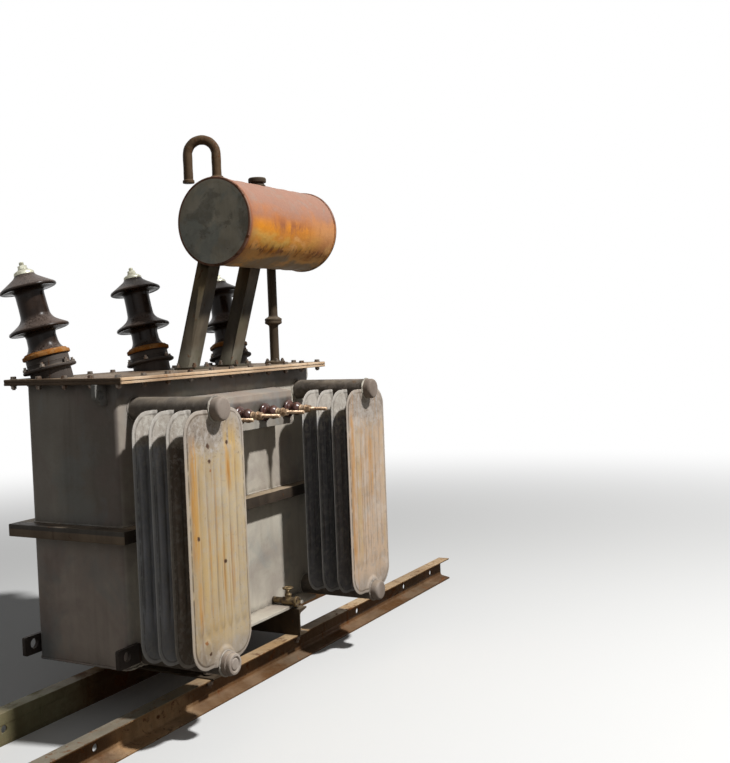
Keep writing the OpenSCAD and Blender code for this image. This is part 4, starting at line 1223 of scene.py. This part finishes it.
def makeTankWelds():
    plan, fin, look, lines = tankPlan, finShape, weldLook, []
    offset, gap = look["offset"], look["seamGap"]
    for z in (plan["low"] + gap, rimPlan["curbLow"] - gap, bandLook["top"] + gap):
        outline = ringOutline(plan["halfX"] + offset, plan["halfY"] + offset, plan["corner"] + offset)
        lines.append([(x, y + plan["centreY"], z) for x, y in outline])
    outer = fin["first"] - (fin["count"] - 1) * fin["pitch"] - fin["bossDepth"] - look["outerY"]
    for side in (-1, 1):
        for z in (fin["lowZ"], fin["highZ"]):
            for y, lift in ((headerLook["wallY"], look["wallGap"]), (outer, look["outerGap"])):
                lines.append(circleLine((side * fin["centreX"], y, z), headerLook["radius"] + lift, (0, 1, 0)))
    settle(beadsAlong("tankWelds", lines, look["bead"], tankPaint), "tank_paint")


makeTankWelds()
print("bolts and welds made")


# bushings: rounded profiles of (radius, height) in metres along each leaning axis; a thread is (radius, low z,
# high z, pitch)
highBushing = {"pitch": 0.380, "footY": 0.18725, "footZ": 0.837, "lean": 12.0, "splay": 5.0,
               "nut": (0.011, 0.0075, 0.0125, 0.0015, 0.0058, 0.008), "nutZ": 0.2752, "boltRing": 0.0592,
               "bolt": (0.0062, 0.0050, 0.0072, 0.0010, 0.0034, 0.0105), "boltZ": 0.0272, "studZ": 0.274,
               "thread": (0.006, 0.2745, 0.2925, 0.0018)}
highPorcelain = [(0.0, 0.052), (0.049, 0.052), (0.050, 0.056, 0.003), (0.050, 0.064, 0.004), (0.041, 0.073, 0.006),
                 (0.037, 0.084, 0.008), (0.036, 0.107, 0.008), (0.040, 0.1155, 0.006), (0.062, 0.1185, 0.004),
                 (0.0695, 0.1175, 0.0015), (0.0735, 0.1200, 0.0025), (0.0725, 0.1255, 0.003), (0.054, 0.136, 0.010),
                 (0.042, 0.145, 0.010), (0.036, 0.156, 0.010), (0.035, 0.180, 0.01), (0.035, 0.212, 0.006),
                 (0.038, 0.2205, 0.005), (0.058, 0.2230, 0.004), (0.0655, 0.2222, 0.0015), (0.0695, 0.2245, 0.0025),
                 (0.0685, 0.2298, 0.003), (0.045, 0.2445, 0.010), (0.030, 0.2545, 0.006),
                 (0.0255, 0.2595, 0.003), (0.0245, 0.262), (0.0, 0.262)]
highCap = [(0.0, 0.2605), (0.0245, 0.2605), (0.0250, 0.2625, 0.001), (0.0240, 0.2685, 0.003), (0.0150, 0.2735, 0.003),
           (0.010, 0.2755, 0.001), (0.0065, 0.2755), (0.006, 0.278), (0.0, 0.278)]
turretProfile = [(0.0, -0.012), (0.050, -0.012), (0.050, 0.0185, 0.001), (0.0635, 0.0200, 0.001),
                 (0.0650, 0.0215, 0.001), (0.0650, 0.0255, 0.001), (0.0635, 0.0270, 0.001), (0.0530, 0.0275, 0.002),
                 (0.0520, 0.0310, 0.001), (0.0520, 0.0380, 0.0006), (0.0528, 0.0386, 0.0004), (0.0520, 0.0392, 0.0006),
                 (0.0520, 0.0505, 0.001), (0.0505, 0.0520, 0.001), (0.0, 0.0520)]
clampRing = [(0.0502, 0.0530), (0.0565, 0.0530, 0.001), (0.0580, 0.0545, 0.001), (0.0580, 0.0610, 0.001),
             (0.0565, 0.0625, 0.001), (0.0530, 0.0630, 0.001), (0.0515, 0.0665, 0.002), (0.0500, 0.0672)]


def threadProfile(radius, low, high, pitch):
    profile = []
    z = low
    while z < high:
        profile.extend(((radius, z), (radius - pitch * 0.45, z + pitch * 0.5)))
        z += pitch
    profile.extend(((radius - 0.0006, high), (radius - 0.0016, high + 0.001), (0.0, high + 0.001)))
    return profile


def makeHighBushings():
    look = highBushing
    caps, studs, nuts, rings, clampBolts = [], [], [], [], []
    for index, word in enumerate(("near", "middle", "far"), -1):
        matrix = turned((index * look["pitch"], look["footY"], look["footZ"]), index * look["splay"], "Y")
        matrix = matrix @ Matrix.Rotation(math.radians(-look["lean"]), 4, "X")
        up = (matrix.to_3x3() @ Vector((0, 0, 1))).normalized()
        settle(lathe(f"highBushing{word.capitalize()}", rounded(highPorcelain, 5), matrix, porcelain, 96, 60.0),
               "porcelain", f"hv_bushing_{word}")
        turret = lathe(f"turret{word.capitalize()}", rounded(turretProfile, 3), matrix, turretSteel, 80, 40.0)
        settle(turret, "rusty_paint", f"hv_turret_{word}")
        ring = rounded(clampRing, 3)
        rings.append(lathe("ring", ring + [ring[0]], matrix, clampSteel, 80, 40.0))
        caps.append(lathe("cap", rounded(highCap), matrix, terminalMetal, 48, 45.0))
        thread = [(0, look["studZ"])] + threadProfile(*look["thread"])
        studs.append(lathe("stud", thread, matrix, terminalMetal, 20, 25.0))
        nuts.append((matrix @ Vector((0, 0, look["nutZ"])), up))
        for a in [math.radians(60 * k + 30) for k in range(6)]:
            spot = Vector((look["boltRing"] * math.cos(a), look["boltRing"] * math.sin(a), look["boltZ"]))
            clampBolts.append((matrix @ spot, up))
    nutPiece = boltsAt("nuts", nuts, look["nut"], terminalMetal, 7)
    settle(joinPieces("highTerminals", caps + studs + [nutPiece], terminalMetal, 30.0), "terminal_metal",
           "hv_terminals")
    bolts = boltsAt("clampBolts", clampBolts, look["bolt"], boltMetal, 8)
    settle(joinPieces("clampRings", rings, clampSteel), "rusty_steel")
    settle(bolts, "rusty_steel")


makeHighBushings()

lowBushing = {"spots": (-0.154, -0.034, 0.086, 0.206), "faceY": -0.11725, "z": 0.714,
              "nut": (0.0100, 0.0110, 0.0112, 0.0012, 0.0049, 0.0120), "nutZ": 0.0655,
              "thread": (0.005, 0.0665, 0.1300, 0.0015)}
lowPorcelain = [(0.0, 0.0), (0.0200, 0.0), (0.0205, 0.0020, 0.001), (0.0245, 0.0055, 0.002), (0.0250, 0.0095, 0.002),
                (0.0210, 0.0130, 0.002), (0.0150, 0.0152, 0.002), (0.0142, 0.0240, 0.004), (0.0180, 0.0290, 0.003),
                (0.0192, 0.0340, 0.003), (0.0178, 0.0395, 0.003), (0.0140, 0.0435, 0.003), (0.0110, 0.0462),
                (0.0, 0.0462)]
lowCap = [(0, 0.0455), (0.0116, 0.0460, 0.0005), (0.0120, 0.0485, 0.001), (0.0100, 0.0512, 0.001),
          (0.0102, 0.0560, 0.001), (0.0094, 0.0575, 0.0005), (0.0102, 0.0590, 0.001), (0.0100, 0.0618, 0.0005),
          (0.0118, 0.0622, 0.0005), (0.0120, 0.0655, 0.0006), (0.0052, 0.0662)]


def makeLowBushings():
    sleeves, metal, nuts = [], [], []
    stud = rounded(lowCap, 3) + threadProfile(*lowBushing["thread"])
    for x in lowBushing["spots"]:
        matrix = turned((x, lowBushing["faceY"], lowBushing["z"]), 90, "X")
        sleeves.append(lathe("sleeve", rounded(lowPorcelain), matrix, lowGlaze, 48, 60.0))
        metal.append(lathe("stud", stud, matrix, brassMetal, 24, 25.0))
        nuts.append((matrix @ Vector((0, 0, lowBushing["nutZ"])), (0, -1, 0)))
    settle(joinPieces("lowBushings", sleeves, lowGlaze, 60.0), "porcelain", "lv_bushings")
    nutPiece = boltsAt("nuts", nuts, lowBushing["nut"], brassMetal, 11)
    settle(joinPieces("lowStuds", metal + [nutPiece], brassMetal, 28.0), "brass", "lv_studs")


makeLowBushings()
print("bushings made")


# conservator drum, its dished ends, legs and fittings
drumShape = {"nearX": -0.031, "farX": 0.419, "axisY": -0.06475, "axisZ": 1.225, "radius": 0.115, "wall": 0.004,
             "steps": 44, "rimIn": 0.005, "shrunk": 0.0008, "swell": (0.0006, 0.0004), "seamIn": 0.007,
             "seamLift": 0.0006, "seamBead": 0.0016, "seamRipple": 0.0005}


def makeDrum():
    s, edge = drumShape, drumShape["radius"]
    low, high, steps = s["nearX"] + s["rimIn"], s["farX"] - s["rimIn"], s["steps"]
    broad, narrow = s["swell"]
    outer = []
    for k in range(steps + 1):
        swell = broad * math.sin(k * 0.9) + narrow * math.sin(k * 2.3 + 1) if 0 < k < steps else 0
        outer.append((edge + swell - s["shrunk"], low + (high - low) * k / steps))
    profile = outer + [(edge - s["wall"], high), (edge - s["wall"], low), outer[0]]
    shell = lathe("conservatorDrum", profile, turned((0, s["axisY"], s["axisZ"]), 90, "Y"), drumPaint, 96, 40.0)
    settle(shell, "rusty_paint", "conservator_drum")
    face = rounded([(0.0, -0.003), (edge * 0.5, -0.0026), (edge - 0.016, -0.003, 0.004), (edge - 0.011, -0.0008, 0.003),
                    (edge - 0.006, 0.0, 0.002), (edge, 0.0, 0.002), (edge + 0.002, -0.002, 0.001),
                    (edge + 0.002, -0.0055, 0.001), (edge - 0.001, -0.0065), (edge - 0.003, -0.0065), (0.0, -0.0065)])
    lip = rounded([(edge - 0.0060, -0.0030), (edge - 0.0052, -0.0002, 0.001), (edge - 0.003, 0.0004, 0.001),
                   (edge + 0.001, 0.0002, 0.002), (edge + 0.0022, -0.002, 0.001), (edge + 0.0022, -0.0058, 0.001),
                   (edge + 0.0004, -0.0068), (edge - 0.0060, -0.0068)])
    for word, x, sign in (("near", s["nearX"], -1), ("far", s["farX"], 1)):
        matrix = turned((x, s["axisY"], s["axisZ"]), sign * 90, "Y")
        plate = lathe(f"drumEnd{word.capitalize()}", face, matrix, endPlatePaint, 96, 45.0)
        settle(plate, "rusty_paint", f"conservator_end_{word}")
        rim = lathe(f"drumRim{word.capitalize()}", lip + [lip[0]], matrix, drumRimPaint, 96, 45.0)
        settle(rim, "rusty_paint")
    seams = [circleLine((x, s["axisY"], s["axisZ"]), edge + s["seamLift"], (1, 0, 0), 90)
             for x in (s["nearX"] + s["seamIn"], s["farX"] - s["seamIn"])]
    settle(beadsAlong("drumSeams", seams, s["seamBead"], drumPaint, s["seamRipple"]), "rusty_paint")


makeDrum()

ventShape = {"x": -0.006, "radius": 0.0125, "bend": 0.038, "rise": 0.064, "drop": 0.074, "turn": 25.0, "lip": 0.0155,
             "sunk": 0.004, "waver": 0.02}


def makeVent():
    s, v = drumShape, ventShape
    turn, bend, lipRadius = math.radians(v["turn"]), v["bend"], v["lip"]
    ahead = Vector((-math.sin(turn), math.cos(turn), 0))
    base = Vector((v["x"], s["axisY"], s["axisZ"]))
    top = s["radius"] + v["rise"]
    path = [base + Vector((0, 0, s["radius"] - v["sunk"] + k * (v["rise"] + v["sunk"]) / 6)) for k in range(7)]
    path += [base + ahead * (bend * (1 - math.cos(a))) + Vector((0, 0, top + bend * math.sin(a)))
             for a in [math.pi * k / 20 for k in range(1, 20)]]
    path += [base + ahead * (2 * bend) + Vector((0, 0, top - k * v["drop"] / 6)) for k in range(7)]
    radii = [v["radius"] * (1 + v["waver"] * math.sin(k * 1.7)) for k in range(len(path))]
    pipe = tube("ventBend", path, radii, brownPipe, 28, 50.0)
    lip = rounded([(0.0105, 0.012), (0.0105, 0.0002), (0.0118, -0.0002, 0.0005), (0.0150, 0.0, 0.001),
                   (lipRadius, 0.0012, 0.001), (lipRadius, 0.0068, 0.001), (0.0145, 0.008, 0.001), (0.0128, 0.009),
                   (0.0120, 0.012)], 3)
    rim = lathe("ventLip", lip + [lip[0]], Matrix.Translation(path[-1]), brownPipe, 40, 40.0)
    collar = rounded([(0.0120, 0.0), (0.0175, 0.0), (0.0175, 0.006, 0.002), (0.0130, 0.009, 0.002), (0.0120, 0.009)], 3)
    footing = Matrix.Translation(base + Vector((0, 0, s["radius"] - 0.002)))
    foot = lathe("ventCollar", collar + [collar[0]], footing, brownPipe, 32, 40.0)
    settle(joinPieces("ventPipe", [pipe, rim, foot], brownPipe, 45.0), "rusty_steel", "vent_pipe")


makeVent()

fillerShape = {"x": 0.184, "neck": 0.019}


def makeFiller():
    base = Vector((fillerShape["x"], drumShape["axisY"], drumShape["axisZ"] + drumShape["radius"]))
    neck = fillerShape["neck"]
    profile = rounded([(0.0, -0.006), (neck + 0.004, -0.006), (neck + 0.004, 0.001, 0.002), (neck, 0.0035, 0.002),
                       (neck, 0.0080), (0.0242, 0.0082, 0.001), (0.0250, 0.0095, 0.001), (0.0250, 0.0185, 0.002),
                       (0.0225, 0.0218, 0.002), (0.0120, 0.0232, 0.004), (0.0, 0.0235)])
    cap = lathe("fillerCap", profile, Matrix.Translation(base), darkSteel, 48, 40.0)
    settle(cap, "rusty_steel", "filler_cap")


makeFiller()

linkShape = {"x": 0.330, "y": -0.00475, "radius": 0.0135, "flangeZ": 0.837, "valveZ": 0.957, "boltRing": 0.0225,
             "bolt": (0.0055, 0.0045, 0.0066, 0.001, 0.003, 0.008)}


def makeLinkPipe():
    s, p = drumShape, linkShape
    topZ = s["axisZ"] - math.sqrt(s["radius"] ** 2 - (p["y"] - s["axisY"]) ** 2) + 0.006
    f, v, r = p["flangeZ"], p["valveZ"], p["radius"]
    profile = rounded([
        (0.0, f), (0.0295, f), (0.030, f + 0.001, 0.0008), (0.030, f + 0.0072, 0.001), (0.0292, f + 0.008, 0.001),
        (r + 0.003, f + 0.0084, 0.001), (r, f + 0.012, 0.002), (r, v - 0.010), (r + 0.001, v - 0.006, 0.002),
        (0.0245, v - 0.0005, 0.001), (0.0250, v + 0.0005, 0.001), (0.0250, v + 0.0062, 0.0006),
        (0.0235, v + 0.007, 0.0004), (0.0250, v + 0.0078, 0.0006), (0.0250, v + 0.0135, 0.001),
        (0.0240, v + 0.0142, 0.001), (r + 0.001, v + 0.020, 0.002), (r, v + 0.024, 0.002), (r, topZ), (0.0, topZ)], 3)
    pipe = lathe("linkPipe", profile, Matrix.Translation((p["x"], p["y"], 0)), darkSteel, 40, 40.0)
    settle(pipe, "rusty_steel", "oil_link_pipe")
    spots = [((p["x"] + x, p["y"] + y, f + 0.008), (0, 0, 1)) for x, y in fourRound(p["boltRing"])]
    settle(boltsAt("linkBolts", spots, p["bolt"], boltMetal, 21), "rusty_steel")


makeLinkPipe()
print("conservator made")


# drain valve on the front wall: tube, body, bonnet and hand wheel
valveShape = {"x": 0.190, "z": 0.170, "wallY": -0.05725, "spindleY": 0.050, "wheelZ": 0.037, "wheelRadius": 0.0135,
              "wheelRim": 0.0024, "spoke": 0.0017, "faceY": 0.0816, "boltRing": 0.0112,
              "bolt": (0.0028, 0.0022, 0.0032, 0.0005, 0.0015, 0.0030)}


def makeValve():
    v = valveShape
    outward = turned((v["x"], v["wallY"], v["z"]), 90, "X")
    body = rounded([(0.0, -0.001), (0.0085, -0.001), (0.0085, 0.030, 0.002), (0.0105, 0.032, 0.001),
                    (0.0110, 0.040, 0.002), (0.0115, 0.046, 0.004), (0.0115, 0.056, 0.004), (0.0100, 0.064, 0.003),
                    (0.0100, 0.0735, 0.001), (0.0145, 0.0742, 0.0005), (0.0150, 0.0750, 0.0005),
                    (0.0150, 0.0812, 0.001), (0.0140, 0.0818, 0.001), (0.0070, 0.0818), (0.0060, 0.0810),
                    (0.0, 0.0810)])
    parts = [lathe("valveBody", body, outward, valveMetal, 40, 40.0)]
    spindle = Vector((v["x"], v["wallY"] - v["spindleY"], v["z"]))
    bonnet = rounded([(0.0, 0.0), (0.0085, 0.0), (0.0085, 0.014, 0.002), (0.0100, 0.016, 0.001), (0.0100, 0.020, 0.001),
                      (0.0072, 0.022, 0.002), (0.0062, 0.029, 0.002), (0.0040, 0.031, 0.001), (0.0034, 0.0400),
                      (0.0, 0.0400)], 3)
    parts.append(lathe("valveBonnet", bonnet, Matrix.Translation(spindle), valveMetal, 32, 35.0))
    centre = Vector((v["x"], v["wallY"] - v["spindleY"], v["z"] + v["wheelZ"]))
    parts.append(closedTube("valveWheel", circleLine(centre, v["wheelRadius"], (0, 0, 1), 24), v["wheelRim"],
                            valveMetal))
    for x, y in fourRound(1.0):
        reach = Vector((x, y, 0)) * (v["wheelRadius"] - 0.0006)
        spoke = [centre + reach * share for share in (0.2, 0.65, 1.0)]
        parts.append(tube("spoke", spoke, [v["spoke"]] * len(spoke), valveMetal, 10))
    settle(joinPieces("drainValve", parts, valveMetal, 40.0), "brass", "drain_valve")
    spots = [((v["x"] + x, v["wallY"] - v["faceY"], v["z"] + z), (0, -1, 0)) for x, z in fourRound(v["boltRing"])]
    settle(boltsAt("valveBolts", spots, v["bolt"], boltMetal, 31), "rusty_steel")


makeValve()

# legs, lugs, pocket and channels keep their CAD shape, welded and smooth-shaded
for nodeName, pieceName, finish, slotName in (
        ("conservator_leg_near", "drumLegNear", legSteel, "rusty_steel"),
        ("conservator_leg_far", "drumLegFar", legSteel, "rusty_steel"),
        ("haulage_lugs", "haulageLugs", turretSteel, "tank_paint"),
        ("lifting_lugs", "liftingLugs", tankPaint, "tank_paint"),
        ("lv_pocket", "lowPocket", pocketPaint, "tank_paint"),
        ("base_channel_near", "baseChannelNear", darkSteel, "rusty_paint"),
        ("base_channel_far", "baseChannelFar", darkSteel, "rusty_paint"),
        ("platform_channel_front", "platformChannelFront", channelSteel, "rusty_steel"),
        ("platform_channel_back", "platformChannelBack", channelSteel, "rusty_steel")):
    settle(copyOfNode(pieceName, nodeName, finish), slotName, nodeName)

footBolts = {"legX": (0.010, 0.205), "legY": 0.05525, "legHalf": 0.027, "legZ": 0.843,
             "leg": (0.0065, 0.0055, 0.0080, 0.0012, 0.0042, 0.0110),
             "baseX": 0.2075, "baseY": (-0.1180, 0.1985), "lowZ": 0.0660, "highZ": 0.0842,
             "nut": (0.0105, 0.0085, 0.0130, 0.0020, 0.0062, 0.0160),
             "head": (0.0105, 0.0085, 0.0130, 0.0020, 0.0062, 0.006)}


def makeFootBolts():
    look, sides = footBolts, (-1, 1)
    legs = [((x + i * look["legHalf"], look["legY"] + j * look["legHalf"], look["legZ"]), (0, 0, 1))
            for x in look["legX"] for i in sides for j in sides]
    settle(boltsAt("legBolts", legs, look["leg"], boltMetal, 41), "rusty_steel")
    spots = [(i * look["baseX"], y) for i in sides for y in look["baseY"]]
    low = boltsAt("lowNuts", [((x, y, look["lowZ"]), (0, 0, -1)) for x, y in spots], look["nut"], boltMetal, 42)
    high = boltsAt("highHeads", [((x, y, look["highZ"]), (0, 0, 1)) for x, y in spots], look["head"], boltMetal, 43)
    settle(joinPieces("baseBolts", [low, high], boltMetal, 30.0), "rusty_steel")


makeFootBolts()
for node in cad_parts.values():
    node.data.materials.clear()
    node.data.materials.append(tankPaint)
print("fittings made")


# floor, lamps and camera
lampLook = {"ambient": 0.11, "bounce": (0.16, 0.15, 0.135), "target": (0.0, 0.0, 0.65),
            "keyLamp": {"place": (0.3, -3.6, 4.9), "power": 420.0, "size": 0.32},
            "fillLamp": {"place": (-3.4, -2.2, 2.2), "power": 7.0, "size": 2.6}}
floorLook = {"colour": (0.72, 0.72, 0.71), "half": 60.0, "fadeFrom": 1.6, "fadeTo": 5.5}


# 1 for what the camera sees, straight or by a reflection
def seenRays(tree):
    path = addNode(tree, "ShaderNodeLightPath")
    straight, glossy, through = (Value(tree, path.outputs[f"Is {word} Ray"]) for word in (
        "Camera", "Glossy", "Transmission"))
    return straight, calc("MAXIMUM", straight, calc("MAXIMUM", glossy, through))


def makeFloor():
    material, tree, surface = newMaterial("paleFloor")
    away = valueOf(tree, "ShaderNodeVectorMath", {"operation": "LENGTH"}, {0: objectPlace(tree)}, 1)
    straight, shown = seenRays(tree)
    fill(surface, {"Base Color": straight.blend(lampLook["bounce"], floorLook["colour"]), "Roughness": 0.9,
                   "Specular IOR Level": 0.0})
    glow = valueOf(tree, "ShaderNodeEmission", None, {"Color": (1, 1, 1), "Strength": 1.0})
    whole = valueOf(tree, "ShaderNodeMixShader", None, {
        0: away.band(floorLook["fadeFrom"], floorLook["fadeTo"]) * shown, 1: Value(tree, surface.outputs[0]), 2: glow})
    fill(next(n for n in tree.nodes if n.type == "OUTPUT_MATERIAL"), {"Surface": whole})
    mesh = bpy.data.meshes.new("floor")
    half = floorLook["half"]
    mesh.from_pydata([(-half, -half, 0), (half, -half, 0), (half, half, 0), (-half, half, 0)], [], [(0, 1, 2, 3)])
    mesh.materials.append(material)
    placed("floor", mesh)


def makeWorld():
    world = bpy.data.worlds.new("studio")
    scene.world = world
    world.use_nodes = True
    tree = world.node_tree
    tree.nodes.clear()
    shown = seenRays(tree)[1]
    strength = lampLook["ambient"] + shown * (1 - lampLook["ambient"])
    sky = valueOf(tree, "ShaderNodeBackground", None, {"Color": (1.0, 1.0, 1.0), "Strength": strength})
    addNode(tree, "ShaderNodeOutputWorld", None, {0: sky})


def makeLamp(name):
    look = lampLook[name]
    light = bpy.data.lights.new(name, "AREA")
    light.energy, light.shape, light.size = look["power"], "DISK", look["size"]
    lamp = placed(name, light)
    lamp.location = look["place"]
    lamp.rotation_euler = (Vector(lampLook["target"]) - Vector(look["place"])).to_track_quat("-Z", "Y").to_euler()


makeFloor()
makeWorld()
makeLamp("keyLamp")
makeLamp("fillLamp")

# the camera stands where the photograph was taken; focal length and centre in image pixels
cameraLook = {"place": (-2.290, -1.70375, 0.914), "heading": 28.76, "pitch": -2.49, "roll": -2.19,
              "focal": 1050.5, "centreX": 353.0, "centreY": 380.6, "wide": 730.0, "tall": 763.0,
              "filmWidth": 36.0}


def makeCamera():
    look = cameraLook
    az, el, roll = (math.radians(look[k]) for k in ("heading", "pitch", "roll"))
    ahead = Vector((math.cos(el) * math.cos(az), math.cos(el) * math.sin(az), math.sin(el)))
    right = Vector((math.sin(az), -math.cos(az), 0))
    up = right.cross(ahead)
    level = right * math.cos(roll) + up * math.sin(roll)
    over = -right * math.sin(roll) + up * math.cos(roll)
    data = bpy.data.cameras.new("photoCamera")
    data.sensor_fit = "HORIZONTAL"
    data.sensor_width = look["filmWidth"]
    data.lens = look["focal"] * look["filmWidth"] / look["wide"]
    data.shift_x = (look["wide"] / 2 - look["centreX"]) / look["wide"]
    data.shift_y = (look["centreY"] - look["tall"] / 2) / look["wide"]
    data.clip_start = 0.05
    data.clip_end = 200
    camera = placed("photoCamera", data)
    basis = Matrix((level, over, -ahead)).transposed()
    camera.matrix_world = Matrix.Translation(look["place"]) @ basis.to_4x4()
    scene.camera = camera


makeCamera()
scene.view_settings.view_transform = "Standard"
print("scene ready")
